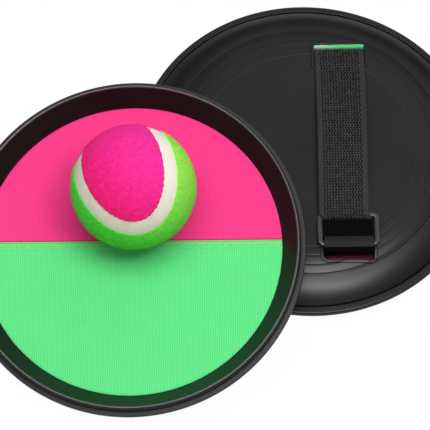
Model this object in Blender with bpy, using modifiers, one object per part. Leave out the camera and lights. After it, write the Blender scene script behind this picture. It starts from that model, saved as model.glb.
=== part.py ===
"""Hook and loop catch set: two round paddles and a felt ball, as they lie together.

Each paddle is a moulded dish with a two-colour catching pad in its mouth and a webbing hand strap on its
back. One paddle lies face down. The other lies face up and leans on it, and the ball sticks to its pad.

A paddle is built face up: z = 0 is the plane of its lip, its pad and its back lie below, and its pink half
is towards +Y. In the comments, depth is the distance below the lip. Sizes are in metres.
"""

import math

import bmesh
import bpy
import numpy as np
from mathutils import Euler, Matrix, Vector

# Dish, turned shape
LIP_RADIUS = 0.0925
LIP_WIDTH = 0.0021
LIP_ROUND = 0.0005
BEAD_PROUD = 0.0009
BEAD_START = 0.0046
LEDGE_DEPTH = 0.0083
LEDGE_WIDTH = 0.0036
GROOVE_DEPTH = 0.0003
CONE_START = 0.0089
CONE_END = 0.0153
PLATEAU_RADIUS = 0.0735
PLATEAU_DEPTH = 0.0160
FLAT_RADIUS = 0.0585
DISH_HEIGHT = 0.0183
WALL = 0.0020
RING_COUNT = 4
RING_RISE = 0.0003
RING_HALF_WIDTH = 0.0006
TURN_STEPS = 60

# Strap windows in the dish's floor, with their raised borders
WINDOW_LENGTH = 0.0301
WINDOW_WIDTH = 0.0144
WINDOW_CORNER = 0.0020
BORDER_WIDTH = 0.0014
BORDER_RISE = 0.0006
WINDOW_A_Y = -0.0579
WINDOW_B_Y = 0.0597
STRAP_X = 0.0191

# Catching pad
PAD_DEPTH = 0.0096
PAD_THICKNESS = 0.0010
SEAT_WIDTH = 0.0016
PAD_SPLIT_Y = 0.0059
HEM_WIDTH = 0.0048
HEM_RISE = 0.0003

# Hand strap and buckle ring. The leaning paddle presses its own strap nearly flat
STRAP_WIDTH = 0.0270
STRAP_THICKNESS = 0.0012
STRAP_BOW = 0.0044
PRESSED_BOW = 0.0004
STRAP_TAIL = 0.0265
STRAP_SKEW = 0.0014
FOLD_GAP = 0.0007
FOLD_INSET = 0.0026
RING_LENGTH = 0.0340
RING_WIDTH = 0.0198
RING_THICKNESS = 0.0022
BAR_WIDTH = 0.0030
BUCKLE_CORNER = 0.0038
BUCKLE_END_Y = 0.0593

# Ball
BALL_RADIUS = 0.0335
FELT_THICKNESS = 0.0013
BAND_SUNK = 0.0004
BAND_HALF_WIDTH = 0.0042
SEAM_BEND = 2.22
PANEL_RINGS = 10
PANEL_STEPS = 64
BALL_X = 0.0028
BALL_Y = 0.0255
BALL_TURN = (81.6, 8.3, -164.8)

# How the set lies: the face-up paddle's centre from the other's, its turn and the way its face leans
FRONT_X = -0.0904
FRONT_Y = -0.0751
FRONT_TURN = 4.1
LEAN_TOWARDS = -121.3
REAR_TURN = 7.4

GAP = 0.0003
CUT_SPARE = 0.010
ARC_STEPS = 6

COLOURS = {
    "black_plastic": ((0.012, 0.012, 0.013), 0.28),
    "black_webbing": ((0.010, 0.010, 0.011), 0.85),
    "pink_pad": ((0.93, 0.04, 0.25), 0.75),
    "green_pad": ((0.06, 0.88, 0.22), 0.75),
    "cream_rubber": ((0.82, 0.81, 0.72), 0.60),
    "pink_felt": ((0.95, 0.02, 0.32), 0.95),
    "green_felt": ((0.12, 0.78, 0.10), 0.95),
}


def collection(name):
    made = bpy.data.collections.new(name)
    bpy.context.scene.collection.children.link(made)
    return made


def clear_scene():
    for thing in list(bpy.data.objects):
        bpy.data.objects.remove(thing, do_unlink=True)


def material(name):
    found = bpy.data.materials.get(name)
    if found:
        return found
    colour, roughness = COLOURS[name]
    made = bpy.data.materials.new(name)
    made.use_nodes = True
    shader = made.node_tree.nodes["Principled BSDF"]
    shader.inputs["Base Color"].default_value = (*colour, 1)
    shader.inputs["Roughness"].default_value = roughness
    shader.inputs["Metallic"].default_value = 0
    return made


def mesh_object(name, points, faces, home, edges=()):
    mesh = bpy.data.meshes.new(name)
    mesh.from_pydata([tuple(point) for point in points], edges, faces)
    mesh.update()
    made = bpy.data.objects.new(name, mesh)
    home.objects.link(made)
    return made


def as_part(thing, finish, parent):
    thing.data.materials.append(material(finish))
    if thing.data.polygons:
        thing.data.shade_smooth()
        thing.data.set_sharp_from_angle(angle=math.radians(40))
    thing.parent = parent
    return thing


def as_cutter(thing):
    thing.hide_render = True
    thing.display_type = "WIRE"
    return thing


def empty(name, home, parent=None):
    made = bpy.data.objects.new(name, None)
    home.objects.link(made)
    made.parent = parent
    return made


def turned(name, profile, home):
    """A solid of revolution about Z from (radius, depth) points, which run down its outer side."""
    points = [(radius, 0, -depth) for radius, depth in profile]
    edges = [(i, i + 1) for i in range(len(points) - 1)]
    made = mesh_object(name, points, [], home, edges)
    screw = made.modifiers.new("Turn", "SCREW")
    screw.steps = TURN_STEPS
    screw.render_steps = TURN_STEPS
    screw.use_merge_vertices = True
    screw.merge_threshold = 0.00001
    return made


def boolean(thing, operation, other):
    cut = thing.modifiers.new(other.name, "BOOLEAN")
    cut.operation = operation
    cut.solver = "EXACT"
    cut.object = other


def solidify(thing, thickness, offset):
    wall = thing.modifiers.new("Thickness", "SOLIDIFY")
    wall.thickness = thickness
    wall.offset = offset
    wall.use_even_offset = True


def rounded_rectangle(length, width, corner):
    """Points round a rectangle with round corners, along X by length and along Y by width."""
    points = []
    for turn, side_x, side_y in ((0, 1, 1), (90, -1, 1), (180, -1, -1), (270, 1, -1)):
        centre = Vector((side_x * (length / 2 - corner), side_y * (width / 2 - corner)))
        for i in range(ARC_STEPS + 1):
            angle = math.radians(turn + 90 * i / ARC_STEPS)
            points.append(centre + corner * Vector((math.cos(angle), math.sin(angle))))
    return points


def prism(name, outline, low, high, home):
    count = len(outline)
    points = [(x, y, low) for x, y in outline] + [(x, y, high) for x, y in outline]
    faces = [tuple(range(count))[::-1], tuple(range(count, 2 * count))]
    for i in range(count):
        j = (i + 1) % count
        faces.append((i, j, count + j, count + i))
    return mesh_object(name, points, faces, home)


def crown(radius):
    """Depth of the domed back outside its flat middle."""
    share = (radius - FLAT_RADIUS) / (PLATEAU_RADIUS - FLAT_RADIUS)
    return PLATEAU_DEPTH + (DISH_HEIGHT - PLATEAU_DEPTH) * (1 - share**2)


def ring_radii():
    step = (PLATEAU_RADIUS - FLAT_RADIUS) / (RING_COUNT - 1)
    return [PLATEAU_RADIUS - i * step for i in range(RING_COUNT)]


def groove_radius():
    return LIP_RADIUS + BEAD_PROUD - LEDGE_WIDTH


def cone_end_radius():
    return PLATEAU_RADIUS + 2.5 * RING_HALF_WIDTH


def back_profile():
    """The outside of the dish as (radius, depth), from the top of the lip to the middle of the back."""
    bead = LIP_RADIUS + BEAD_PROUD
    groove = groove_radius()
    points = [
        (LIP_RADIUS - LIP_WIDTH + LIP_ROUND, 0),
        (LIP_RADIUS - LIP_ROUND, 0),
        (LIP_RADIUS, LIP_ROUND),
        (LIP_RADIUS, BEAD_START),
        (bead, BEAD_START + BEAD_PROUD / 2),
        (bead, LEDGE_DEPTH - BEAD_PROUD),
        (bead - BEAD_PROUD / 2, LEDGE_DEPTH - BEAD_PROUD / 5),
        (groove + LEDGE_WIDTH / 3, LEDGE_DEPTH),
        (groove, LEDGE_DEPTH - GROOVE_DEPTH),
        (groove - GROOVE_DEPTH, CONE_START),
        (cone_end_radius(), CONE_END),
    ]
    for radius in ring_radii():
        for side, rise in ((1, 0), (0, RING_RISE), (-1, 0)):
            at = radius + side * RING_HALF_WIDTH
            points.append((at, crown(max(at, FLAT_RADIUS)) + rise))
    points.append((0, DISH_HEIGHT))
    return points


def smooth_back():
    """The back without its rings as (radius, depth), from the cone's end to the middle."""
    domed = [(radius, crown(radius)) for radius in ring_radii()]
    return [(cone_end_radius(), CONE_END)] + domed + [(0, DISH_HEIGHT)]


def inner_cone(depth):
    """Radius of the dish's inner cone at this depth: the outer cone moved in by the wall."""
    run = groove_radius() - cone_end_radius()
    fall = CONE_END - CONE_START
    shift = WALL * math.hypot(run, fall) / fall
    return groove_radius() - shift - run / fall * (depth - CONE_START)


def inner_cone_depth(radius):
    run = groove_radius() - cone_end_radius()
    fall = CONE_END - CONE_START
    return CONE_START + (inner_cone(CONE_START) - radius) * fall / run


def seat_depth():
    return PAD_DEPTH + PAD_THICKNESS + GAP


def seat_radius():
    """Outer edge of the ledge that carries the pad."""
    return inner_cone(seat_depth()) + SEAT_WIDTH


def pad_radius():
    return seat_radius() - GAP


def mouth_profile():
    """The inside of the dish as (radius, depth), from the middle of its floor up to the lip."""
    mouth = LIP_RADIUS - LIP_WIDTH
    floor_edge = (PLATEAU_RADIUS + FLAT_RADIUS) / 2
    floor_end = inner_cone(PLATEAU_DEPTH - WALL)
    return [
        (0, DISH_HEIGHT - WALL),
        (FLAT_RADIUS, DISH_HEIGHT - WALL),
        (floor_edge, crown(floor_edge) - WALL),
        (floor_end, PLATEAU_DEPTH - WALL),
        (inner_cone(seat_depth()), seat_depth()),
        (seat_radius(), seat_depth()),
        (seat_radius(), inner_cone_depth(seat_radius())),
        (mouth, inner_cone_depth(mouth)),
        (mouth, LIP_ROUND),
    ]


def window_outline(y, grow=0.0):
    outline = rounded_rectangle(WINDOW_LENGTH + 2 * grow, WINDOW_WIDTH + 2 * grow, WINDOW_CORNER + grow)
    return [(point.x + STRAP_X, point.y + y) for point in outline]


def build_dish(name, home, cutters, parent):
    dish = turned(name, mouth_profile() + back_profile(), home)
    top = [(radius, depth + BORDER_RISE) for radius, depth in smooth_back()]
    bottom = [(radius, depth - WALL / 2) for radius, depth in reversed(smooth_back())]
    for side, y in (("a", WINDOW_A_Y), ("b", WINDOW_B_Y)):
        border = turned(f"{name}_border_{side}", bottom + top, cutters)
        post = prism(f"{name}_post_{side}", window_outline(y, BORDER_WIDTH), -DISH_HEIGHT - CUT_SPARE, 0, cutters)
        hole = prism(f"{name}_hole_{side}", window_outline(y), -DISH_HEIGHT - CUT_SPARE, 0, cutters)
        boolean(border, "INTERSECT", as_cutter(post))
        boolean(dish, "UNION", as_cutter(border))
        boolean(dish, "DIFFERENCE", as_cutter(hole))
        for helper in (border, post, hole):
            helper.parent = parent
    return as_part(dish, "black_plastic", parent)


def half_disc(radius, y, side):
    """Points of the part of a disc above the line at y, or below it for side -1, counter-clockwise."""
    start = math.asin(y / radius)
    angles = np.linspace(start, math.pi - start, TURN_STEPS // 2 + 1)
    if side < 0:
        angles = np.linspace(math.pi - start, 2 * math.pi + start, TURN_STEPS // 2 + 1)
    return [(radius * math.cos(angle), radius * math.sin(angle)) for angle in angles]


def build_pads(prefix, home, cutters, parent):
    low = -PAD_DEPTH - PAD_THICKNESS
    pink = prism(f"{prefix}_pad_pink", half_disc(pad_radius(), PAD_SPLIT_Y + GAP / 2, 1), low, -PAD_DEPTH, home)
    as_part(pink, "pink_pad", parent)
    edge = PAD_SPLIT_Y - GAP / 2
    green = prism(f"{prefix}_pad_green", half_disc(pad_radius(), edge, -1), low, -PAD_DEPTH, home)
    half = math.sqrt(pad_radius() ** 2 - PAD_SPLIT_Y**2) - HEM_WIDTH / 2
    outline = [(-half, edge - HEM_WIDTH), (half, edge - HEM_WIDTH), (half, edge), (-half, edge)]
    hem = prism(f"{prefix}_hem", outline, low, HEM_RISE - PAD_DEPTH, cutters)
    hem.parent = parent
    boolean(green, "UNION", as_cutter(hem))
    as_part(green, "green_pad", parent)


def tail_depth():
    """Middle of the strap's tail, which lies on the dish's back."""
    return DISH_HEIGHT + GAP + STRAP_THICKNESS / 2


def top_bar_depth():
    """Middle of the buckle ring's bar that the strap's tail is turned round."""
    return tail_depth() + STRAP_THICKNESS / 2 + GAP + RING_THICKNESS / 2


def low_bar_depth():
    """Middle of the bar that the strap's other end holds: it lies over the second window's border."""
    return DISH_HEIGHT + BORDER_RISE + GAP + RING_THICKNESS / 2


def wrap_radius():
    """From the middle of a bar to the middle of the webbing round it."""
    return RING_THICKNESS / 2 + GAP + STRAP_THICKNESS / 2


def top_bar_y():
    return BUCKLE_END_Y - RING_WIDTH + BAR_WIDTH / 2


def low_bar_y():
    return BUCKLE_END_Y - BAR_WIDTH / 2


def round_corner(before, corner, after, radius):
    """An arc of this radius in place of a corner."""
    into = (before - corner).normalized()
    out = (after - corner).normalized()
    half = into.angle(out) / 2
    centre = corner + (into + out).normalized() * (radius / math.sin(half))
    start = corner + into * (radius / math.tan(half)) - centre
    end = corner + out * (radius / math.tan(half)) - centre
    sweep = start.angle(end)
    points = []
    for i in range(ARC_STEPS + 1):
        share = i / ARC_STEPS
        points.append(
            centre + (start * math.sin((1 - share) * sweep) + end * math.sin(share * sweep)) / math.sin(sweep)
        )
    return points


def rounded_path(corners):
    """Points of a path through corners of ((x, y, depth), radius), each rounded by its radius."""
    spots = [Vector(spot) for spot, radius in corners]
    path = [spots[0]]
    for i in range(1, len(corners) - 1):
        radius = corners[i][1]
        if radius:
            path += round_corner(spots[i - 1], spots[i], spots[i + 1], radius)
        else:
            path.append(spots[i])
    path.append(spots[-1])
    return [path[0]] + [after for before, after in zip(path, path[1:]) if (after - before).length > GAP / 10]


def hand_run(bow):
    """The stretch that a hand goes under, bowed and a little askew, from the ring to the first window."""
    start = Vector((0, top_bar_y() - BAR_WIDTH, top_bar_depth() + wrap_radius()))
    near_border = WINDOW_A_Y + WINDOW_WIDTH / 2 + 2 * BORDER_WIDTH
    end = Vector((0, near_border, DISH_HEIGHT + BORDER_RISE + GAP + STRAP_THICKNESS / 2))
    count = 14
    run = []
    for i in range(count + 1):
        share = i / count
        point = start.lerp(end, share)
        point.x -= STRAP_SKEW * (1 - share) * min(1, 5 * share)
        point.z += bow * math.sin(math.pi * share)
        run.append((point, 0))
    return run


def strap_corners(bow):
    """The strap's route, from its free end to its sewn end, with x measured from the strap's own line."""
    half = STRAP_THICKNESS / 2
    wrap = wrap_radius()
    fold_y = top_bar_y() + BAR_WIDTH / 2 - RING_THICKNESS / 2 + wrap
    turn = (FOLD_GAP + STRAP_THICKNESS) / 2
    inside = DISH_HEIGHT - WALL - 2 * GAP - half
    dive_y = WINDOW_A_Y - WINDOW_WIDTH / 2 + FOLD_INSET + half
    over_border = WINDOW_A_Y + WINDOW_WIDTH / 2 - half
    loop_y = low_bar_y() - BAR_WIDTH / 2 + RING_THICKNESS / 2 - wrap
    rise_y = BUCKLE_END_Y + STRAP_THICKNESS + wrap
    corners = [
        ((0, fold_y - wrap - STRAP_TAIL, tail_depth()), 0),
        ((0, fold_y, top_bar_depth() - wrap), wrap),
        ((0, fold_y, top_bar_depth() + wrap), wrap),
    ]
    corners += hand_run(bow)
    corners += [
        ((0, over_border, DISH_HEIGHT + BORDER_RISE + GAP + half), 0),
        ((0, dive_y, inside + 2 * turn), turn),
        ((0, dive_y, inside), turn),
        ((0, rise_y, inside), wrap),
        ((0, rise_y, low_bar_depth() + wrap), wrap),
        ((0, loop_y, low_bar_depth() + wrap), wrap),
        ((0, loop_y, low_bar_depth() - wrap), wrap),
        ((0, BUCKLE_END_Y + half, low_bar_depth() - wrap), 0),
    ]
    return corners


def build_strap(name, bow, home, parent):
    points = []
    path = rounded_path(strap_corners(bow))
    for spot in path:
        for side in (-1, 1):
            points.append((STRAP_X + spot.x + side * STRAP_WIDTH / 2, spot.y, -spot.z))
    faces = [(2 * i, 2 * i + 1, 2 * i + 3, 2 * i + 2) for i in range(len(path) - 1)]
    strap = mesh_object(name, points, faces, home)
    solidify(strap, STRAP_THICKNESS, 0)
    return as_part(strap, "black_webbing", parent)


def build_buckle_ring(name, home, parent):
    ring = mesh_object(name, [], [], home)
    shape = bmesh.new()
    sizes = (
        (RING_LENGTH, RING_WIDTH, BUCKLE_CORNER),
        (RING_LENGTH - 2 * BAR_WIDTH, RING_WIDTH - 2 * BAR_WIDTH, BUCKLE_CORNER - BAR_WIDTH),
    )
    loops = []
    for length, width, corner in sizes:
        spots = [shape.verts.new((point.x, point.y, 0)) for point in rounded_rectangle(length, width, corner)]
        loops += [shape.edges.new((spots[i - 1], spots[i])) for i in range(len(spots))]
    bmesh.ops.bridge_loops(shape, edges=loops)
    bmesh.ops.recalc_face_normals(shape, faces=shape.faces)
    shape.to_mesh(ring.data)
    shape.free()
    solidify(ring, RING_THICKNESS, 0)
    round_over = ring.modifiers.new("Round", "BEVEL")
    round_over.width = RING_THICKNESS / 5
    round_over.segments = 1
    rise = top_bar_depth() - low_bar_depth()
    ring.rotation_euler.x = math.atan2(rise, low_bar_y() - top_bar_y())
    middle_y = (low_bar_y() + top_bar_y()) / 2
    ring.location = (STRAP_X, middle_y, -(top_bar_depth() + low_bar_depth()) / 2)
    return as_part(ring, "black_plastic", parent)


def build_paddle(prefix, bow, home, cutters, parent):
    paddle = empty(f"{prefix}_paddle", home, parent)
    build_dish(f"{prefix}_dish", home, cutters, paddle)
    build_pads(prefix, home, cutters, paddle)
    build_strap(f"{prefix}_hand_strap", bow, home, paddle)
    build_buckle_ring(f"{prefix}_buckle_ring", home, paddle)
    return paddle


def seam_heights(azimuth):
    """Height on a unit sphere, at each azimuth, of the seam z = SEAM_BEND (x^2 - y^2).

    The seam parts the sphere into two equal panels, one round +Z and one round -Z.
    """
    bend = SEAM_BEND * np.cos(2 * azimuth)
    return 2 * bend / (1 + np.sqrt(1 + 4 * bend**2))


def seam_points(azimuth):
    height = seam_heights(azimuth)
    across = np.sqrt(1 - height**2)
    return np.stack([across * np.cos(azimuth), across * np.sin(azimuth), height], axis=-1)


def beside_seam(distance):
    """Evenly spaced points of a unit sphere at this distance from the seam, positive towards +Z."""
    fine = np.linspace(0, 2 * math.pi, 3601)
    steps = np.linalg.norm(np.diff(seam_points(fine), axis=0), axis=1)
    length = np.concatenate([[0], np.cumsum(steps)])
    even = np.interp(np.arange(PANEL_STEPS) / PANEL_STEPS * length[-1], length, fine)
    curve = seam_points(even)
    along = np.roll(curve, -1, axis=0) - np.roll(curve, 1, axis=0)
    side = np.cross(curve, along)
    side /= np.linalg.norm(side, axis=1)[:, None]
    angle = distance / BALL_RADIUS
    return math.cos(angle) * curve + math.sin(angle) * side


def strips_between(rows, first):
    """Faces between rows of PANEL_STEPS points, each row a closed loop, the first starting at this index."""
    faces = []
    for j in range(rows - 1):
        for i in range(PANEL_STEPS):
            here = first + j * PANEL_STEPS
            after = (i + 1) % PANEL_STEPS
            faces.append((here + i, here + PANEL_STEPS + i, here + PANEL_STEPS + after, here + after))
    return faces


def build_panel(name, home, finish, parent):
    """A felt panel, as rings from its middle out to its edge."""
    edge = beside_seam(BAND_HALF_WIDTH)
    polar = np.arccos(edge[:, 2])
    azimuth = np.arctan2(edge[:, 1], edge[:, 0])
    points = [(0, 0, BALL_RADIUS)]
    for j in range(1, PANEL_RINGS + 1):
        angle = polar * j / PANEL_RINGS
        ring = np.stack([np.sin(angle) * np.cos(azimuth), np.sin(angle) * np.sin(azimuth), np.cos(angle)], axis=-1)
        points += list(BALL_RADIUS * ring)
    faces = [(0, 1 + i, 1 + (i + 1) % PANEL_STEPS) for i in range(PANEL_STEPS)]
    panel = mesh_object(name, points, faces + strips_between(PANEL_RINGS, 1), home)
    solidify(panel, FELT_THICKNESS, -1)
    return as_part(panel, finish, parent)


def build_seam_band(name, home, parent):
    half = BAND_HALF_WIDTH - GAP
    points = []
    for distance in (half, half / 3, -half / 3, -half):
        points += list((BALL_RADIUS - BAND_SUNK) * beside_seam(distance))
    band = mesh_object(name, points, strips_between(4, 0), home)
    solidify(band, FELT_THICKNESS - BAND_SUNK, -1)
    return as_part(band, "cream_rubber", parent)


def core_radius():
    """The felt's facets, at most this angle across, cut inside their sphere: the core stays clear of them."""
    facet = math.radians(150) / PANEL_RINGS
    return (BALL_RADIUS - FELT_THICKNESS) * math.cos(0.6 * facet) - GAP


def build_ball(home, parent):
    ball = empty("ball", home, parent)
    core = mesh_object("ball_core", [], [], home)
    shape = bmesh.new()
    bmesh.ops.create_uvsphere(shape, u_segments=28, v_segments=16, radius=core_radius())
    shape.to_mesh(core.data)
    shape.free()
    as_part(core, "cream_rubber", ball)
    build_panel("ball_felt_pink", home, "pink_felt", ball)
    green = build_panel("ball_felt_green", home, "green_felt", ball)
    green.rotation_euler = (math.pi, 0, math.pi / 2)
    build_seam_band("ball_seam_band", home, ball)
    ball.rotation_euler = Euler([math.radians(angle) for angle in BALL_TURN])
    ball.location = (BALL_X, BALL_Y, BALL_RADIUS + GAP - PAD_DEPTH)
    return ball


def back_depth(radius):
    """Depth of the dish's outer surface at each radius, below its bead."""
    profile = [point for point in back_profile() if point[1] >= LEDGE_DEPTH - BEAD_PROUD]
    radii = np.array([point[0] for point in profile])[::-1]
    depths = np.array([point[1] for point in profile])[::-1]
    return np.interp(radius, radii, depths)


def underside_points():
    """Points over the face-up paddle's back, strap and ring in its own frame, those that could touch first."""
    radii = np.concatenate([np.linspace(0, LIP_RADIUS + BEAD_PROUD, 180), ring_radii()])
    radius, azimuth = np.meshgrid(radii, np.linspace(0, 2 * math.pi, 360, endpoint=False))
    back = np.stack([radius * np.cos(azimuth), radius * np.sin(azimuth), -back_depth(radius)], axis=-1)
    found = [back.reshape(-1, 3)]
    across = np.linspace(-STRAP_WIDTH / 2 - STRAP_SKEW, STRAP_WIDTH / 2 + STRAP_SKEW, 9)
    for spot in rounded_path(strap_corners(PRESSED_BOW)):
        outer = spot.z + STRAP_THICKNESS / 2
        found.append(np.stack([STRAP_X + across, 0 * across + spot.y, 0 * across - outer], axis=-1))
    along = np.linspace(top_bar_y() - BAR_WIDTH / 2, low_bar_y() + BAR_WIDTH / 2, 15)
    share = (along - top_bar_y()) / (low_bar_y() - top_bar_y())
    bars = top_bar_depth() + (low_bar_depth() - top_bar_depth()) * share + RING_THICKNESS / 2
    for x in np.linspace(-RING_LENGTH / 2, RING_LENGTH / 2, 15):
        found.append(np.stack([STRAP_X + x + 0 * along, along, -bars], axis=-1))
    return np.concatenate(found)


def lean_turn(angle):
    """The turn that leans a face-up paddle by this angle towards LEAN_TOWARDS."""
    towards = math.radians(LEAN_TOWARDS)
    axis = Vector((-math.sin(towards), math.cos(towards), 0))
    return Matrix.Rotation(angle, 3, axis) @ Matrix.Rotation(math.radians(FRONT_TURN), 3, "Z")


def resting_height(points, angle):
    """Height of the leaning paddle's lip centre that puts its lowest point on the floor, and its clearance.

    The clearance is the least height of its underside over the back of the paddle that lies face down.
    """
    placed = points @ np.array(lean_turn(angle)).T
    height = -placed[:, 2].min()
    radius = np.hypot(placed[:, 0] + FRONT_X, placed[:, 1] + FRONT_Y)
    over = radius <= LIP_RADIUS + BEAD_PROUD
    clearance = (placed[over, 2] + height - back_depth(radius[over])).min()
    return height, clearance


def front_rest():
    """Height and lean at which the face-up paddle just meets the other, found by halving."""
    points = underside_points()
    low, high = 0.0, math.radians(45)
    for _ in range(40):
        angle = (low + high) / 2
        height, clearance = resting_height(points, angle)
        low, high = (low, angle) if clearance > GAP else (angle, high)
    return resting_height(points, high)[0], high


def place_paddles(front, rear):
    height, angle = front_rest()
    front.matrix_local = Matrix.Translation((FRONT_X, FRONT_Y, height)) @ lean_turn(angle).to_4x4()
    turn = Matrix.Rotation(math.radians(REAR_TURN), 4, "Z")
    rear.matrix_local = turn @ Matrix.Rotation(math.pi, 4, "X")


def stand_on_origin(whole, parts):
    """Moves the set so that the origin is under the middle of its box, on the floor."""
    bpy.context.view_layer.update()
    graph = bpy.context.evaluated_depsgraph_get()
    corners = []
    for part in parts:
        made = part.evaluated_get(graph)
        mesh = made.to_mesh()
        count = len(mesh.vertices)
        flat = np.empty(3 * count, np.float32)
        mesh.vertices.foreach_get("co", flat)
        world = np.array(made.matrix_world)
        corners.append(flat.reshape(-1, 3) @ world[:3, :3].T + world[:3, 3])
        made.to_mesh_clear()
    points = np.concatenate(corners)
    low, high = points.min(axis=0), points.max(axis=0)
    whole.location = (-(low[0] + high[0]) / 2, -(low[1] + high[1]) / 2, -low[2])


def main():
    clear_scene()
    bpy.context.scene.unit_settings.scale_length = 1.0
    home = collection("catch_set")
    cutters = collection("cutters")
    whole = empty("catch_set", home)
    front = build_paddle("front", PRESSED_BOW, home, cutters, whole)
    rear = build_paddle("rear", STRAP_BOW, home, cutters, whole)
    build_ball(home, front)
    place_paddles(front, rear)
    stand_on_origin(whole, [thing for thing in home.objects if thing.type == "MESH"])


main()
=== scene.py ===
"""Looks of the hook and loop catch set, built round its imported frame.

Every piece is worked out in a paddle's own frame and then put in place by that paddle's matrix. In that
frame the lip's plane is z = 0, the pad faces +Z, its pink half is towards +Y, and depth is the distance
below the lip. Sizes are in metres.
"""

import math

import bmesh
import bpy
import numpy as np
from bpy.props import FloatProperty, FloatVectorProperty, IntProperty, PointerProperty
from mathutils import Euler, Matrix, Vector


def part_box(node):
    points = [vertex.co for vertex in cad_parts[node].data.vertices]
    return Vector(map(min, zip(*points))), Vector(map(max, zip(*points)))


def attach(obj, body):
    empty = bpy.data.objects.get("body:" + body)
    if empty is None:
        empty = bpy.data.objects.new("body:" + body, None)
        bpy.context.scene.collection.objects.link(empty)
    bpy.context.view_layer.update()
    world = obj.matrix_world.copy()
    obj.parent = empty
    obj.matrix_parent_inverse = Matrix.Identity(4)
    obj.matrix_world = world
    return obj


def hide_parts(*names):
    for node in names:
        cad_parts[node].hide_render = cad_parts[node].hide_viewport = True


bl_info = {
    "name": "Catch set builder",
    "version": (1, 0, 0),
    "blender": (4, 5, 0),
    "location": "3D View > Sidebar > Catch set",
    "description": "Builds the dishes, pads, straps, buckle rings and ball of a hook and loop catch set",
    "category": "Object",
}

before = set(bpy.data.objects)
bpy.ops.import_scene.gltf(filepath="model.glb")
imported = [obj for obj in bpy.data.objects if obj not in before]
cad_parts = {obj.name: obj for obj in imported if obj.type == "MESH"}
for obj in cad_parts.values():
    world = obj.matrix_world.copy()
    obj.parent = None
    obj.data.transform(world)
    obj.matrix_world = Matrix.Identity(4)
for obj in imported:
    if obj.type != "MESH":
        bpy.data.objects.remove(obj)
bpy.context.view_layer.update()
rear_low, rear_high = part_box("rear_dish")
IMAGE_SIDE = 430
PANEL_SEED = 11
FUZZ_SEED = 21


def length(name, default, description):
    """A size in metres."""
    return FloatProperty(name=name, description=description, default=default, unit="LENGTH", precision=5)


def colour(name, default, description):
    """A colour of three parts between 0 and 1."""
    return FloatVectorProperty(
        name=name, description=description, default=default, subtype="COLOR", size=3, min=0, max=1
    )


def angle(name, degrees, description):
    """An angle, given in degrees."""
    return FloatProperty(name=name, description=description, default=math.radians(degrees), unit="ROTATION")


def number(name, default, description):
    """A plain number without a unit."""
    return FloatProperty(name=name, description=description, default=default)


class PlacingSettings(bpy.types.PropertyGroup):
    front_x: length("Front x", -0.0904, "Face-up paddle's centre from the other's, along X")
    front_y: length("Front y", -0.0751, "Face-up paddle's centre from the other's, along Y")
    front_height: length("Front height", 0.03144, "Height of the face-up paddle's lip centre")
    front_turn: angle("Front turn", 4.1, "Turn of the face-up paddle about its own axis")
    lean: angle("Lean", 12.004, "Tilt of the face-up paddle")
    lean_towards: angle("Lean towards", -121.3, "Direction that the face-up paddle leans to")
    rear_turn: angle("Rear turn", 7.4, "Turn of the face-down paddle")


class DishSettings(bpy.types.PropertyGroup):
    lip_radius: length("Lip radius", 0.0912, "Outer radius of the lip")
    lip_width: length("Lip width", 0.0015, "Thickness of the wall at the lip")
    lip_round: length("Lip rounding", 0.00065, "Rounding of the lip's two edges")
    bead_proud: length("Bead", 0.0026, "How far the bead stands out from the lip's wall")
    bead_start: length("Bead start", 0.0046, "Depth where the bead starts")
    ledge_depth: length("Ledge depth", 0.0083, "Depth of the ledge under the bead")
    ledge_width: length("Ledge width", 0.0040, "Width of the ledge from the bead to the groove")
    groove: length("Groove", 0.0010, "Depth of the groove between the ledge and the cone")
    cone_start: length("Cone start", 0.0089, "Depth where the cone starts")
    cone_end: length("Cone end", 0.0153, "Depth where the cone ends")
    cone_swell: length("Cone swell", 0.0018, "How far over the straight cone its two end slopes would meet")
    cone_arc: length("Cone arc", 0.031, "Radius of the wide arc between the cone's two end slopes")
    plateau_radius: length("Plateau radius", 0.0735, "Radius of the back's plateau")
    plateau_depth: length("Plateau depth", 0.0160, "Depth of the plateau's edge")
    flat_radius: length("Flat radius", 0.0585, "Radius of the back's flat middle")
    height: length("Height", 0.0183, "Height of the dish")
    wall: length("Wall", 0.0020, "Thickness of the dish's wall")
    ring_sunk: length("Ring depth", 0.00009, "Depth of the line round each moulded ring")
    ring_half_width: length("Ring half width", 0.0006, "Half the width of a moulded ring")
    ring_count: IntProperty(name="Rings", description="Number of thin moulded rings", default=4, min=2)
    window_length: length("Window length", 0.0274, "Length of a strap window")
    window_width: length("Window width", 0.0144, "Width of a strap window")
    window_corner: length("Window corner", 0.0020, "Corner radius of a strap window")
    border_width: length("Border width", 0.0018, "Width of the raised border round a window")
    border_rise: length("Border rise", 0.0006, "Height of the raised border")
    window_a_y: length("Window A", -0.0579, "Centre of the window that the strap dives into")
    window_b_y: length("Window B", 0.0587, "Centre of the window under the buckle ring")
    steps: IntProperty(name="Steps", description="Points round the dish", default=288, min=24)
    tone: colour("Plastic", (0.0050, 0.0048, 0.0050), "Colour of the moulded plastic")
    roughness: number("Roughness", 0.32, "Roughness of the moulded plastic")
    # The lip's and the bead's paleness are painted highlights in the plastic's colour.
    lip_painted_highlight: number("Lip paleness", 16.0, "How many times paler than the plastic the rubbed lip is")
    bead_painted_highlight: number("Bead paleness", 5.0, "How many times paler than the plastic the bead's top is")


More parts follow.
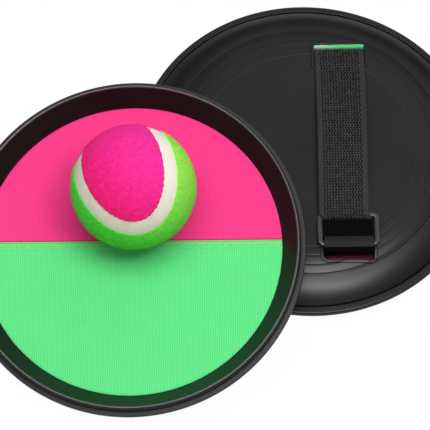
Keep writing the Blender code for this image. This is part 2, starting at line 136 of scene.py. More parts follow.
class PadSettings(bpy.types.PropertyGroup):
    depth: length("Depth", 0.0096, "Depth of the pad's face below the lip")
    thickness: length("Thickness", 0.0010, "Thickness of the pad")
    radius: length("Radius", 0.0808, "Radius of the round pad that the two halves make")
    split_y: length("Split", 0.0059, "Where the green half starts")
    hem_width: length("Hem width", 0.0048, "Width of the green half's hem")
    hem_rise: length("Hem rise", 0.0003, "How far the hem stands up")
    rib_pitch: length("Rib pitch", 0.0012, "Distance between the fabric's ribs")
    stitch_pitch: length("Stitch pitch", 0.0021, "Distance between the hem's stitches")
    stitch_line: length("Stitch line", 0.0030, "Distance of the stitches from the fold")
    # The pink back is painted deep as painted shade, for the strip of it seen through the window under the
    # ring.
    pink_back_painted_shade: colour("Pink back", (0.085, 0.005, 0.012), "Colour of the back of the pink fabric")
    green_back: colour("Green back", (0.030, 0.35, 0.090), "Colour of the back of the green fabric")
    pink: colour("Pink", (1.0, 0.021, 0.230), "Colour of the pink pad")
    green: colour("Green", (0.097, 0.76, 0.226), "Colour of the green pad")
    hem: colour("Hem", (0.16, 0.70, 0.14), "Colour of the green pad's hem")
    # Painted shade: colour of the dark line beside the green half's fold.
    painted_crease_shade: colour("Crease", (0.075, 0.42, 0.075), "Colour of the crease beside the fold")
    fold: colour("Fold", (0.66, 0.60, 0.33), "Colour of the green pad's folded edge")
    whitish: colour("Whitish edge", (0.42, 0.52, 0.43), "Colour of the faded end of the turned-up edge")


class StrapSettings(bpy.types.PropertyGroup):
    x: length("Line", 0.0191, "Distance of the strap's line from the paddle's centre")
    width: length("Width", 0.0270, "Width of the webbing")
    thickness: length("Thickness", 0.0012, "Thickness of the webbing")
    bow: length("Bow", 0.0044, "How far the hand strap bows up")
    pressed_bow: length("Pressed bow", 0.0004, "How far the strap under the leaning paddle bows")
    tail: length("Tail", 0.0265, "Length of the free end under the hand strap")
    skew: length("Skew", 0.0022, "How far the hand strap runs askew")
    fold_gap: length("Fold gap", 0.0007, "Gap inside a fold of the webbing")
    fold_inset: length("Fold inset", 0.0026, "Distance of the fold from the first window's outer edge")
    gap: length("Gap", 0.0003, "Gap between the webbing and what it lies on")
    weave_pitch: length("Weave pitch", 0.00155, "Distance between the herringbone's threads")
    zigzag: length("Zigzag", 0.0016, "Distance along the webbing after which the herringbone turns back")
    pick_pitch: length("Pick pitch", 0.0008, "Distance between the webbing's cross threads")
    selvage: length("Selvage", 0.0029, "Width of the webbing's plain edges")
    looped: length("Looped end", 0.022, "Length of the plain webbing round the ring's lower bar")
    # Length of the sewn end that gets the near-black painted shade.
    sewn: length("Sewn end", 0.0099, "Length of the bare sewn end")
    tone: colour("Webbing", (0.0160, 0.0160, 0.0168), "Colour of the webbing")
    # Near-black painted shade for the leg in the second window, and for the sewn end, which is matt webbing
    # in shade.
    painted_shade: colour("Bare webbing", (0.0015, 0.0015, 0.0015), "Colour of the webbing's underside")


class BuckleSettings(bpy.types.PropertyGroup):
    length: length("Length", 0.0340, "Length of the buckle ring")
    width: length("Width", 0.0198, "Width of the buckle ring")
    thickness: length("Thickness", 0.0022, "Thickness of the buckle ring")
    bar: length("Bar", 0.0030, "Width of the buckle ring's bars")
    corner: length("Corner", 0.0038, "Outer corner radius of the buckle ring")
    end_y: length("End", 0.0593, "Where the buckle ring ends, along Y")
    tone: colour("Ring plastic", (0.030, 0.0295, 0.0295), "Colour of the buckle ring")


class BallSettings(bpy.types.PropertyGroup):
    radius: length("Radius", 0.0335, "Radius of the ball over its felt")
    felt: length("Felt thickness", 0.0013, "Thickness of the felt")
    band_sunk: length("Band sunk", 0.0004, "How far the seam band lies below the felt")
    band_to_pink: length("Band to pink", 0.0032, "Width of the seam band on the pink side of the seam")
    band_to_green: length("Band to green", 0.0058, "Width of the seam band on the green side of the seam")
    seam_bend: number("Seam bend", 2.46, "How far the seam swings: z = bend (x squared - y squared)")
    x: length("Ball x", 0.0031, "Place of the ball on the pad, along X")
    y: length("Ball y", 0.0253, "Place of the ball on the pad, along Y")
    turn: FloatVectorProperty(
        name="Turn",
        description="Turn of the ball about the paddle's X, Y and Z",
        default=(math.radians(87.3), math.radians(4.9), math.radians(-161.1)),
        subtype="EULER",
    )
    fuzz_length: length("Fuzz length", 0.0013, "Length of the felt's loose fibres")
    fuzz_thickness: length("Fuzz thickness", 0.000065, "Radius of a loose fibre at its root")
    fuzz_count: IntProperty(name="Fuzz", description="Loose fibres on each panel", default=12000, min=10)
    pink_ragged: length("Pink raggedness", 0.00070, "How uneven the pink felt's edge is")
    green_ragged: length("Green raggedness", 0.00012, "How uneven the green felt's edge is")
    # Painted light and shade: each felt is blended from its lower colour, painted shade, to its upper
    # colour, painted light.
    pink: colour("Pink felt", (1.0, 0.036, 0.360), "Colour of the pink felt's upper side")
    pink_painted_shade: colour("Pink felt below", (0.95, 0.006, 0.125), "Colour of the pink felt's lower side")
    green: colour("Green felt", (0.375, 0.93, 0.104), "Colour of the green felt's upper side")
    green_painted_shade: colour("Green felt below", (0.045, 0.76, 0.054), "Colour of the green felt's lower side")
    # The band's lower colour is painted shade.
    cream: colour("Cream", (0.86, 0.80, 0.70), "Colour of the seam band's upper side")
    cream_painted_shade: colour("Cream below", (0.66, 0.66, 0.49), "Colour of the seam band's lower side")


class StageSettings(bpy.types.PropertyGroup):
    elevation: angle("Elevation", 62.725, "Camera's height above the horizon")
    roll: angle("Roll", 5.69, "Camera's roll")
    distance: length("Distance", 6.0, "Distance of the camera")
    focal: number("Focal length in pixels", 11061.889, "Focal length, in pixels of the photograph")
    aim_x: length("Aim x", 0.049927, "How far the picture's middle is left of the rear paddle's centre")
    aim_y: length("Aim y", 0.026519, "How far the picture's middle is below the rear paddle's centre")
    key: number("Key light", 29.0, "Power of the large soft light over the object, in watts")
    accent: number("Highlight", 5.5, "Power of the small soft light at the front right, in watts")
    back: number("Back light", 4.2, "Power of the broad light behind the object, in watts")
    world: number("World", 0.54, "Strength of the even light from overhead")
    world_low: number("World below", 0.08, "Strength of the even light from the sides")


class CatchSetSettings(bpy.types.PropertyGroup):
    placing: PointerProperty(type=PlacingSettings)
    dish: PointerProperty(type=DishSettings)
    pad: PointerProperty(type=PadSettings)
    strap: PointerProperty(type=StrapSettings)
    buckle: PointerProperty(type=BuckleSettings)
    ball: PointerProperty(type=BallSettings)
    stage: PointerProperty(type=StageSettings)


def sizes():
    """All the settings of the catch set."""
    return bpy.context.scene.catch_set


def paddle_frame(which):
    """The matrix from a paddle's own frame to the set's. The rear one is turned face down on the floor."""
    place = sizes().placing
    centre = (rear_low + rear_high) / 2
    if which == "rear":
        turn = Matrix.Rotation(place.rear_turn, 4, "Z") @ Matrix.Rotation(math.pi, 4, "X")
        return Matrix.Translation((centre.x, centre.y, 0)) @ turn
    axis = Vector((-math.sin(place.lean_towards), math.cos(place.lean_towards), 0))
    turn = Matrix.Rotation(place.lean, 4, axis) @ Matrix.Rotation(place.front_turn, 4, "Z")
    spot = (centre.x + place.front_x, centre.y + place.front_y, place.front_height)
    return Matrix.Translation(spot) @ turn


def grid_faces(rows, columns, close_rows=False, close_columns=False):
    """Quads between neighbouring points of a grid. Closing joins the last row or column to the first."""
    row = np.arange(rows if close_rows else rows - 1)[:, None]
    column = np.arange(columns if close_columns else columns - 1)[None]
    next_row = (row + 1) % rows
    next_column = (column + 1) % columns
    quads = np.stack(
        [
            row * columns + column,
            row * columns + next_column,
            next_row * columns + next_column,
            next_row * columns + column,
        ],
        axis=-1,
    )
    return quads.reshape(-1, 4)


def capped(rings):
    """Points and faces of a stack of closed rings, whose ends are closed by the middle of the end ring."""
    rows, columns = rings.shape[:2]
    points = np.concatenate([rings.reshape(-1, 3), rings[:1].mean(axis=1), rings[-1:].mean(axis=1)])
    here = np.arange(columns)
    after = (here + 1) % columns
    last = (rows - 1) * columns
    start = np.stack([np.full(columns, rows * columns), after, here], axis=-1)
    end = np.stack([np.full(columns, rows * columns + 1), last + here, last + after], axis=-1)
    return points, [grid_faces(rows, columns, close_columns=True), start, end]


def make_mesh(name, points, faces, uv=None):
    """A mesh from whole arrays, with its faces pointing out. uv holds one pair for each point, in metres."""
    mesh = bpy.data.meshes.new(name)
    mesh.from_pydata(points.reshape(-1, 3).tolist(), [], [face for part in faces for face in part.tolist()])
    shape = bmesh.new()
    shape.from_mesh(mesh)
    if shape.calc_volume(signed=True) < 0:
        bmesh.ops.reverse_faces(shape, faces=shape.faces)
        shape.to_mesh(mesh)
    shape.free()
    if uv is not None:
        add_uv(mesh, "weave", uv)
    return mesh


def add_uv(mesh, name, pairs):
    """A UV map from one pair for each vertex."""
    corners = np.empty(len(mesh.loops), np.int32)
    mesh.loops.foreach_get("vertex_index", corners)
    layer = mesh.uv_layers.new(name=name)
    layer.data.foreach_set("uv", pairs[corners].astype(np.float32).ravel())


def add_piece(name, mesh, place, finish, nodes=(), sharp=40):
    """Puts a mesh in place as a piece that rides on the set's one body."""
    mesh.transform(place)
    mesh.shade_smooth()
    mesh.set_sharp_from_angle(angle=math.radians(sharp))
    piece = bpy.data.objects.new(name, mesh)
    bpy.context.scene.collection.objects.link(piece)
    piece.data.materials.clear()
    piece.data.materials.append(finish)
    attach(piece, "root")
    if nodes:
        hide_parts(*nodes)
    return piece


def distinct(path):
    """The path without any point that coincides with the one before it."""
    far = np.linalg.norm(np.diff(path, axis=0), axis=1) > 1e-6
    return path[np.concatenate([[True], far])]


def even(path, spacing):
    """The path resampled at even distances along its length, and those distances."""
    run = np.concatenate([[0], np.cumsum(np.linalg.norm(np.diff(path, axis=0), axis=1))])
    along = np.linspace(0, run[-1], int(run[-1] / spacing) + 1)
    return np.stack([np.interp(along, run, path[:, i]) for i in range(path.shape[1])], axis=-1), along


def rounded(corners, steps=7):
    """A path through corners of (x, y, radius), with an arc in place of each corner.

    An arc starts short of its corner by its radius times the tangent of half the turn, and its points lie at
    even angles about its centre.
    """
    spots = np.array(corners, float)
    here = spots[1:-1, :2]
    into = here - spots[:-2, :2]
    out = spots[2:, :2] - here
    into = into / np.linalg.norm(into, axis=1, keepdims=True)
    out = out / np.linalg.norm(out, axis=1, keepdims=True)
    turn = np.arctan2(into[:, 0] * out[:, 1] - into[:, 1] * out[:, 0], (into * out).sum(axis=1))
    radius = spots[1:-1, 2]
    start = here - into * (radius * np.tan(np.abs(turn) / 2))[:, None]
    side = np.stack([-into[:, 1], into[:, 0]], axis=-1) * np.sign(turn)[:, None]
    centre = start + side * radius[:, None]
    arm = (start - centre)[:, None]
    swing = turn[:, None] * np.linspace(0, 1, steps + 1)
    arc = np.stack(
        [
            np.cos(swing) * arm[..., 0] - np.sin(swing) * arm[..., 1],
            np.sin(swing) * arm[..., 0] + np.cos(swing) * arm[..., 1],
        ],
        axis=-1,
    )
    arcs = (centre[:, None] + arc).reshape(-1, 2)
    return distinct(np.concatenate([spots[:1, :2], arcs, spots[-1:, :2]]))


def rounded_rectangle(size_x, size_y, corner, spacing):
    """Points round a rectangle with round corners, at even distances, and the outward direction at each.

    Both come from the same four quarter circles: a point is its quarter's centre plus the corner radius
    times its direction.
    """
    turn = np.linspace(0, math.pi / 2, 13)
    directions = []
    centres = []
    for quarter, side_x, side_y in ((0, 1, 1), (1, -1, 1), (2, -1, -1), (3, 1, -1)):
        angles = turn + quarter * math.pi / 2
        directions.append(np.stack([np.cos(angles), np.sin(angles)], axis=-1))
        centre = np.array([side_x * (size_x / 2 - corner), side_y * (size_y / 2 - corner)])
        centres.append(np.broadcast_to(centre, (len(turn), 2)))
    direction = np.concatenate(directions)
    point = np.concatenate(centres) + corner * direction
    loop = np.concatenate([point, direction], axis=1)
    loop = np.concatenate([loop, loop[:1]])
    run = np.concatenate([[0], np.cumsum(np.linalg.norm(np.diff(loop[:, :2], axis=0), axis=1))])
    along = np.linspace(0, run[-1], int(run[-1] / spacing), endpoint=False)
    found = np.stack([np.interp(along, run, loop[:, i]) for i in range(4)], axis=-1)
    out = found[:, 2:] / np.linalg.norm(found[:, 2:], axis=1, keepdims=True)
    return found[:, :2], out


def crown(radius):
    """Depth of the domed back: it falls from the flat middle's depth with the square of the way out."""
    dish = sizes().dish
    share = np.clip((radius - dish.flat_radius) / (dish.plateau_radius - dish.flat_radius), 0, 2)
    return dish.plateau_depth + (dish.height - dish.plateau_depth) * (1 - share**2)


def ringed_crown(radius):
    """The domed back with its thin rings, each a shallow line.

    A line's depth falls with the square of a cosine from its middle to its edge.
    """
    dish = sizes().dish
    middles = np.linspace(dish.plateau_radius, dish.flat_radius, dish.ring_count)
    offset = np.clip(np.abs(radius[:, None] - middles) / (1.6 * dish.ring_half_width), 0, 1)
    return crown(radius) - dish.ring_sunk * (np.cos(math.pi / 2 * offset) ** 2).sum(axis=1)


def groove_radius():
    """Radius of the groove between the ledge and the cone."""
    dish = sizes().dish
    return dish.lip_radius + dish.bead_proud - dish.ledge_width


def cone_end_radius():
    """Radius where the cone ends, just outside the outermost ring."""
    dish = sizes().dish
    return dish.plateau_radius + 2.5 * dish.ring_half_width


def inner_cone(depth):
    """Radius of the inner cone at a depth: the outer cone moved in by the wall."""
    dish = sizes().dish
    run = groove_radius() - cone_end_radius()
    fall = dish.cone_end - dish.cone_start
    shift = dish.wall * math.hypot(run, fall) / fall
    return groove_radius() - shift - run / fall * (depth - dish.cone_start)


def seat_depth():
    """Depth of the seat under the pads: the depth of their face, their thickness and a small gap."""
    return sizes().pad.depth + sizes().pad.thickness + sizes().strap.gap


def dish_profile():
    """The whole outline of the dish as (radius, depth), from its middle inside over the lip to its back.

    Corners have a rounding each. The cone swells over a straight line by a wide arc.
    """
    dish = sizes().dish
    mouth = dish.lip_radius - dish.lip_width
    bead = dish.lip_radius + dish.bead_proud
    groove = groove_radius()
    seat = sizes().pad.radius + sizes().strap.gap
    cone_middle = (groove + cone_end_radius()) / 2
    swollen = (dish.cone_start + dish.cone_end) / 2 + dish.cone_swell
    floor_edge = (dish.plateau_radius + dish.flat_radius) / 2
    floor_end = dish.plateau_depth - dish.wall
    corners = [
        # the floor and the inner cone
        (0.0005, dish.height - dish.wall, 0),
        (dish.flat_radius, dish.height - dish.wall, 0.004),
        (floor_edge, float(crown(floor_edge)) - dish.wall, 0.004),
        (inner_cone(floor_end), floor_end, 0.002),
        (inner_cone(seat_depth()), seat_depth(), 0.0003),
        # the seat of the pads
        (seat, seat_depth(), 0.0002),
        (seat, sizes().pad.depth + 0.0001, 0.0001),
        # the inner wall and the lip
        (mouth, 1.7 * dish.lip_round, 0.0012),
        (mouth, 0, dish.lip_round),
        (dish.lip_radius, 0, dish.lip_round),
        # the bead, the ledge and the groove
        (dish.lip_radius, dish.bead_start, 0.0004),
        (bead, dish.bead_start + 0.0007, 0.0005),
        (bead, dish.ledge_depth, 0.0011),
        (groove + 0.0006, dish.ledge_depth + 0.0001, 0.0003),
        (groove + 0.0003, dish.ledge_depth - dish.groove, 0.0002),
        (groove - 0.0003, dish.ledge_depth - dish.groove, 0.0002),
        # the cone
        (groove - 0.0006, dish.cone_start + 0.0001, 0.0004),
        (cone_middle, swollen, dish.cone_arc),
        (cone_end_radius(), dish.cone_end, 0.0020),
    ]
    start = dish.plateau_radius + 1.6 * dish.ring_half_width
    outer = rounded(corners + [(start - 0.0004, float(crown(start - 0.0004)), 0)])
    radius = np.concatenate(
        [
            np.arange(start - 0.0006, dish.flat_radius - 1.8 * dish.ring_half_width, -0.00016),
            np.linspace(dish.flat_radius - 2.2 * dish.ring_half_width, 0.0005, 14),
        ]
    )
    return distinct(np.concatenate([outer, np.stack([radius, ringed_crown(radius)], axis=-1)]))


def turned(profile, steps):
    """The rings of a surface of revolution: x = radius cos a, y = radius sin a, z = -depth."""
    turn = np.linspace(0, 2 * math.pi, steps, endpoint=False)
    radius, depth = profile[:, :1], profile[:, 1:]
    return np.stack([radius * np.cos(turn), radius * np.sin(turn), -depth + 0 * turn], axis=-1)


def window_border(y):
    """The raised border round a strap window, which also lines the window's wall.

    A section of (distance out from the window's edge, height over the domed back) is carried round it.
    """
    dish = sizes().dish
    outline, out = rounded_rectangle(dish.window_length, dish.window_width, dish.window_corner, 0.0004)
    section = rounded(
        [
            (0, -dish.wall - 0.0003, 0),
            (0, dish.border_rise, 0.0004),
            (dish.border_width, dish.border_rise, 0.0004),
            (dish.border_width + 0.0001, -0.6 * dish.wall, 0.0001),
            (0.7 * dish.border_width, -dish.wall - 0.0003, 0),
        ],
        steps=5,
    )
    spot = outline + [sizes().strap.x, y]
    across = spot[:, None] + out[:, None] * section[None, :, :1]
    depth = crown(np.linalg.norm(across, axis=-1)) + section[None, :, 1]
    rings = np.concatenate([across, -depth[..., None]], axis=-1)
    return rings.reshape(-1, 3), [grid_faces(len(outline), len(section), True, True)]


def window_cutter(y):
    """A tall prism inside the border's width, which opens the dish's floor.

    It reaches from just below the pads' seat to well past the back.
    """
    dish = sizes().dish
    grow = dish.border_width / 2
    outline, _ = rounded_rectangle(
        dish.window_length + 2 * grow, dish.window_width + 2 * grow, dish.window_corner + grow, 0.0008
    )
    spot = outline + [sizes().strap.x, y]
    low = np.column_stack([spot, np.full(len(spot), -dish.height - 0.0117)])
    high = np.column_stack([spot, np.full(len(spot), -seat_depth() - 0.0009)])
    return capped(np.stack([low, high]))


def solid_of(name, points, faces):
    """A helper object that the dish is made from."""
    made = bpy.data.objects.new(name, make_mesh(name, points, faces))
    bpy.context.scene.collection.objects.link(made)
    return made


def dish_mesh():
    """The dish turned as one solid, with its two windows cut and their borders joined on."""
    dish = sizes().dish
    body = solid_of("dish_body", *capped(turned(dish_profile(), dish.steps)))
    helpers = []
    for y in (dish.window_a_y, dish.window_b_y):
        for operation, shape in (("DIFFERENCE", window_cutter(y)), ("UNION", window_border(y))):
            helper = solid_of("window_helper", *shape)
            cut = body.modifiers.new("Window", "BOOLEAN")
            cut.operation = operation
            cut.solver = "EXACT"
            cut.object = helper
            helpers.append(helper)
    graph = bpy.context.evaluated_depsgraph_get()
    mesh = bpy.data.meshes.new_from_object(body.evaluated_get(graph))
    for thing in [body] + helpers:
        bpy.data.objects.remove(thing)
    spots = np.empty(3 * len(mesh.vertices), np.float32)
    mesh.vertices.foreach_get("co", spots)
    spots = spots.reshape(-1, 3)
    add_uv(mesh, "profile", np.column_stack([np.hypot(spots[:, 0], spots[:, 1]), -spots[:, 2]]))
    return mesh


def half_pad(side):
    """A half of the round pad as a slab: rows along X between the two ends of its chord, its face on top.

    x = share times the chord's half length, and y runs from the split to the rim as radius times the sine
    of an even angle. The last row stops just short of the rim, where its length would be nothing. The green
    half's face is raised over its hem and rolls over at the fold.
    """
    pad = sizes().pad
    radius = pad.radius
    edge = pad.split_y + side * sizes().strap.gap / 2
    end = side * math.asin(0.99999)
    turn = np.linspace(math.asin(edge / radius), end, 260)
    y = radius * np.sin(turn)
    half = np.sqrt(radius**2 - y**2)
    share = np.sin(math.pi / 2 * np.linspace(-1, 1, 121))
    x = half[:, None] * share
    inside = radius - np.hypot(x, y[:, None])
    height = -0.0003 * np.exp(-((inside / 0.0006) ** 2))
    if side < 0:
        from_fold = edge - y
        hem = pad.hem_rise * np.clip((pad.hem_width + 0.0004 - from_fold) / 0.0008, 0, 1)
        groove = -0.00018 * np.exp(-(((from_fold - pad.hem_width) / 0.00045) ** 2))
        roll = -pad.hem_rise * np.exp(-((from_fold / 0.00035) ** 2))
        height = height + (hem + groove + roll)[:, None]
    top = np.stack([x, y[:, None] + 0 * x, height - pad.depth], axis=-1)
    low = np.stack([x, y[:, None] + 0 * x, 0 * x - pad.depth - pad.thickness], axis=-1)
    rings = np.concatenate([top, low[:, ::-1]], axis=1)
    points, faces = capped(rings)
    return points, faces, points[:, :2]


def strap_path(bow):
    """The middle line of the webbing as (askew, y, depth), from its free end to its sewn end."""
    dish, strap, ring = sizes().dish, sizes().strap, sizes().buckle
    half = strap.thickness / 2
    wrap = ring.thickness / 2 + strap.gap + half
    tail_depth = dish.height + strap.gap + half
    top_bar_depth = tail_depth + half + strap.gap + ring.thickness / 2
    low_bar_depth = dish.height + dish.border_rise + strap.gap + ring.thickness / 2
    top_bar_y = ring.end_y - ring.width + ring.bar / 2
    low_bar_y = ring.end_y - ring.bar / 2
    fold_y = top_bar_y + ring.bar / 2 - ring.thickness / 2 + wrap
    turn = (strap.fold_gap + strap.thickness) / 2
    inside = dish.height - dish.wall - 2 * strap.gap - half
    dive_y = dish.window_a_y - dish.window_width / 2 + strap.fold_inset + half
    over_border = dish.window_a_y + dish.window_width / 2 - half
    rise_y = ring.end_y + strap.gap + half
    rest = dish.height + dish.border_rise + strap.gap + half
    start = np.array([top_bar_y - ring.bar, top_bar_depth + wrap])
    end = np.array([dish.window_a_y + dish.window_width / 2 + 2 * dish.border_width, rest])
    share = np.linspace(0, 1, 90)
    run = start + (end - start) * share[:, None]
    run[:, 1] += bow * np.sin(math.pi * share)
    askew = -strap.skew * (1 - share)
    before = rounded(
        [
            # the free end, and the turn round the ring's top bar
            (fold_y - wrap - strap.tail, tail_depth, 0),
            (fold_y, top_bar_depth - wrap, wrap),
            (fold_y, top_bar_depth + wrap, wrap),
            (*start, 0),
        ],
        steps=12,
    )
    after = rounded(
        [
            # over the first window's border and down into it
            (*end, 0),
            (over_border, rest, 0.0002),
            (dive_y, inside + 2 * turn, turn),
            (dive_y, inside, turn),
            # out of the second window and round the ring's lower bar
            (low_bar_y - 0.0008, inside, 0.0015),
            (rise_y + 0.0024, low_bar_depth - wrap - 0.0003, 0.0015),
            (rise_y, low_bar_depth + wrap, wrap),
            (low_bar_y - ring.bar / 2 + 0.0006, low_bar_depth + wrap, 0.0025),
            (fold_y + 0.0065, tail_depth, 0.0030),
            (fold_y + 0.0012, tail_depth, 0),
        ],
        steps=12,
    )
    over_bar = (before[:, 1] - top_bar_depth) / wrap
    whole = np.concatenate(
        [
            np.column_stack([-strap.skew * np.clip((over_bar - 0.8) / 0.2, 0.2, 1), before]),
            np.column_stack([askew, run]),
            np.column_stack([np.zeros(len(after)), after]),
        ]
    )
    return even(distinct(whole), 0.0005)


def webbing(bow):
    """The strap: a flat section with round selvages carried along its middle line.

    A point is the line's point plus across times X plus height times the line's normal in the YZ plane. Its
    uv is (across, distance along). The last array marks the faces of the sewn end and of the leg in the
    second window, which are painted near-black as painted shade.
    """
    dish, strap, ring = sizes().dish, sizes().strap, sizes().buckle
    path, along = strap_path(bow)
    forward = np.gradient(path[:, 1:], axis=0)
    forward /= np.linalg.norm(forward, axis=1, keepdims=True)
    up = np.stack([-forward[:, 1], forward[:, 0]], axis=-1)
    half, thick = strap.width / 2, strap.thickness / 2
    turn = np.linspace(-math.pi / 2, math.pi / 2, 7)
    flat = np.linspace(-1, 1, 15)[1:-1] * (half - thick)
    right = np.column_stack([half - thick + thick * np.cos(turn), thick * np.sin(turn)])
    left = np.column_stack([-half + thick - thick * np.cos(turn), -thick * np.sin(turn)])
    top = np.column_stack([flat[::-1], np.full(len(flat), thick)])
    bottom = np.column_stack([flat, np.full(len(flat), -thick)])
    section = np.concatenate([right, top, left, bottom])
    x = strap.x + path[:, :1] + section[None, :, 0]
    y = path[:, 1:2] + up[:, :1] * section[None, :, 1]
    depth = path[:, 2:] + up[:, 1:] * section[None, :, 1]
    points, faces = capped(np.stack([x, y, -depth], axis=-1))
    from_end = along[-1] - along
    uv = np.stack(np.broadcast_arrays(section[None, :, 0], from_end[:, None]), axis=-1).reshape(-1, 2)
    beyond_bar = path[:, 1] > ring.end_y - 0.6 * ring.bar
    under_bar = path[:, 2] < dish.height + dish.border_rise + ring.bar
    # Faces painted near-black as painted shade: the leg under the ring's lower bar and the sewn end.
    painted_shade = ((beyond_bar & under_bar) | (from_end < strap.sewn))[1:]
    columns = len(section)
    shaded = np.concatenate([np.repeat(painted_shade, columns), np.zeros(columns, bool), np.ones(columns, bool)])
    return points, faces, np.concatenate([uv, [[0, along[-1]], [0, 0]]]), shaded


def window_lining():
    """The edge of the green pad's fabric, turned up inside the first window.

    A round-topped section is carried along X. It gets a little narrower and lower at its ends, and its top
    waves slightly.
    """
    dish, strap = sizes().dish, sizes().strap
    far = dish.window_a_y - dish.window_width / 2 + 0.0002
    near = far + 0.0021
    low = seat_depth()
    top = dish.height + 0.0001
    section = rounded(
        [
            (far, low, 0),
            (far, top, 0.0009),
            (near, top - 0.0002, 0.0009),
            (near, low, 0.0001),
            (far + 0.0001, low, 0),
        ]
    )
    across = np.linspace(-1, 1, 61)[:, None]
    narrower = 1 - 0.12 * across**8
    lower = 1 - 0.012 * across**8
    waving = 0.00012 * np.sin(9 * across + 1)
    rings = np.stack(
        [
            strap.x + across * (strap.width / 2) + 0 * section[None, :, 0],
            far + (section[None, :, 0] - far) * narrower,
            -section[None, :, 1] * lower - waving,
        ],
        axis=-1,
    )
    points, faces = capped(rings)
    return points, faces, points[:, :2]


def buckle_ring():
    """An oval section carried round a rectangle with round corners, then tilted between its two seats."""
    dish, strap, ring = sizes().dish, sizes().strap, sizes().buckle
    line, out = rounded_rectangle(
        ring.length - ring.bar, ring.width - ring.bar, ring.corner - ring.bar / 2, 0.0004
    )
    turn = np.linspace(0, 2 * math.pi, 20, endpoint=False)
    wide = ring.bar / 2 * np.sign(np.cos(turn)) * np.abs(np.cos(turn)) ** 0.7
    tall = ring.thickness / 2 * np.sign(np.sin(turn)) * np.abs(np.sin(turn)) ** 0.7
    spot = line[:, None] + out[:, None] * wide[None, :, None]
    points = np.concatenate([spot, np.broadcast_to(tall[None, :, None], spot.shape[:2] + (1,))], axis=-1)
    top_depth = dish.height + 2 * strap.gap + strap.thickness + ring.thickness / 2
    low_depth = dish.height + dish.border_rise + strap.gap + ring.thickness / 2
    tilt = math.atan2(top_depth - low_depth, ring.width - ring.bar)
    place = Matrix.Translation((strap.x, ring.end_y - ring.width / 2, -(top_depth + low_depth) / 2))
    turned_by = np.array(place @ Matrix.Rotation(tilt, 4, "X"))
    points = points.reshape(-1, 3) @ turned_by[:3, :3].T + turned_by[:3, 3]
    return points, [grid_faces(len(line), len(turn), True, True)]


def seam(azimuth):
    """Points of the seam on a unit sphere, where z = bend (x squared - y squared)."""
    bend = sizes().ball.seam_bend * np.cos(2 * azimuth)
    height = 2 * bend / (1 + np.sqrt(1 + 4 * bend**2))
    across = np.sqrt(1 - height**2)
    return np.stack([across * np.cos(azimuth), across * np.sin(azimuth), height], axis=-1)


def seam_frame(count):
    """Evenly spaced points of the seam and, at each, the direction towards the +Z panel."""
    fine = np.linspace(0, 2 * math.pi, 7201)
    run = np.concatenate([[0], np.cumsum(np.linalg.norm(np.diff(seam(fine), axis=0), axis=1))])
    azimuth = np.interp(np.arange(count) / count * run[-1], run, fine)
    curve = seam(azimuth)
    side = np.cross(curve, np.roll(curve, -1, axis=0) - np.roll(curve, 1, axis=0))
    return curve, side / np.linalg.norm(side, axis=1, keepdims=True)


def beside_seam(curve, side, distance):
    """Directions at a distance from the seam, measured round the ball."""
    turn = np.asarray(distance)[..., None] / sizes().ball.radius
    return np.cos(turn) * curve + np.sin(turn) * side


def ragged(count, size, waves, seed):
    """An uneven edge: a sum of waves round the loop with random phases, each with one side steeper."""
    rng = np.random.default_rng(seed)
    turn = np.arange(count) / count * 2 * math.pi
    cycles = rng.integers(waves[0], waves[1], 12)
    phase = rng.uniform(0, 2 * math.pi, 12)
    wave = np.sin(turn[:, None] * cycles + phase + 0.5 * np.sin(turn[:, None] * cycles + phase)).sum(axis=1)
    return size * wave / np.abs(wave).max()


def felt_panel(seed, edge_from_seam, edge_size):
    """A felt panel round +Z, from its middle out to its edge, down its wall and back under itself.

    A row's direction is a share of the angle from +Z to the edge. The felt thins and rolls over at its edge,
    and its outer rows follow the edge's raggedness more and more.
    """
    ball = sizes().ball
    count, rows = 560, 90
    curve, side = seam_frame(count)
    edge = beside_seam(curve, side, np.full(count, edge_from_seam))
    worn = beside_seam(curve, side, edge_from_seam + ragged(count, edge_size, (60, 260), seed)) - edge
    polar = np.arccos(edge[:, 2])
    azimuth = np.arctan2(edge[:, 1], edge[:, 0])
    share = np.concatenate([[0.002], np.linspace(0.02, 0.96, rows), np.linspace(0.965, 1, 12)])
    to_edge = (1 - share[:, None]) * polar * ball.radius
    outer = ball.radius - 0.0006 * np.exp(-((to_edge / 0.0007) ** 1.5))
    inner = np.full((4, count), ball.radius - ball.felt)
    under = np.array([1.0, 0.6, 0.2, 0.002])
    share = np.concatenate([share, under])
    radius = np.concatenate([outer, inner])
    turn = polar * share[:, None]
    rings = np.stack([np.sin(turn) * np.cos(azimuth), np.sin(turn) * np.sin(azimuth), np.cos(turn)], axis=-1)
    following = np.clip((share - 0.85) / 0.15, 0, 1)
    rings += following[:, None, None] * worn
    rings /= np.linalg.norm(rings, axis=-1, keepdims=True)
    return capped(rings * radius[..., None])


def seam_band():
    """The cream band between the panels, from one edge over to the other and back under itself."""
    ball = sizes().ball
    curve, side = seam_frame(560)
    high, low = ball.band_to_pink + 0.0004, -ball.band_to_green - 0.0004
    across = np.concatenate([np.linspace(high, low, 15), np.linspace(low, high, 5)])
    top = ball.radius - ball.band_sunk - 0.00010 * np.linspace(1, -1, 15) ** 4
    radius = np.concatenate([top, np.full(5, ball.radius - ball.felt)])
    rings = beside_seam(curve[None], side[None], across[:, None]) * radius[:, None, None]
    return rings.reshape(-1, 3), [grid_faces(20, 560, True, True)]


def panel_turn(side):
    """The green panel is the pink one turned over about X and a quarter round Z."""
    return Matrix.Identity(4) if side > 0 else Euler((math.pi, 0, math.pi / 2)).to_matrix().to_4x4()


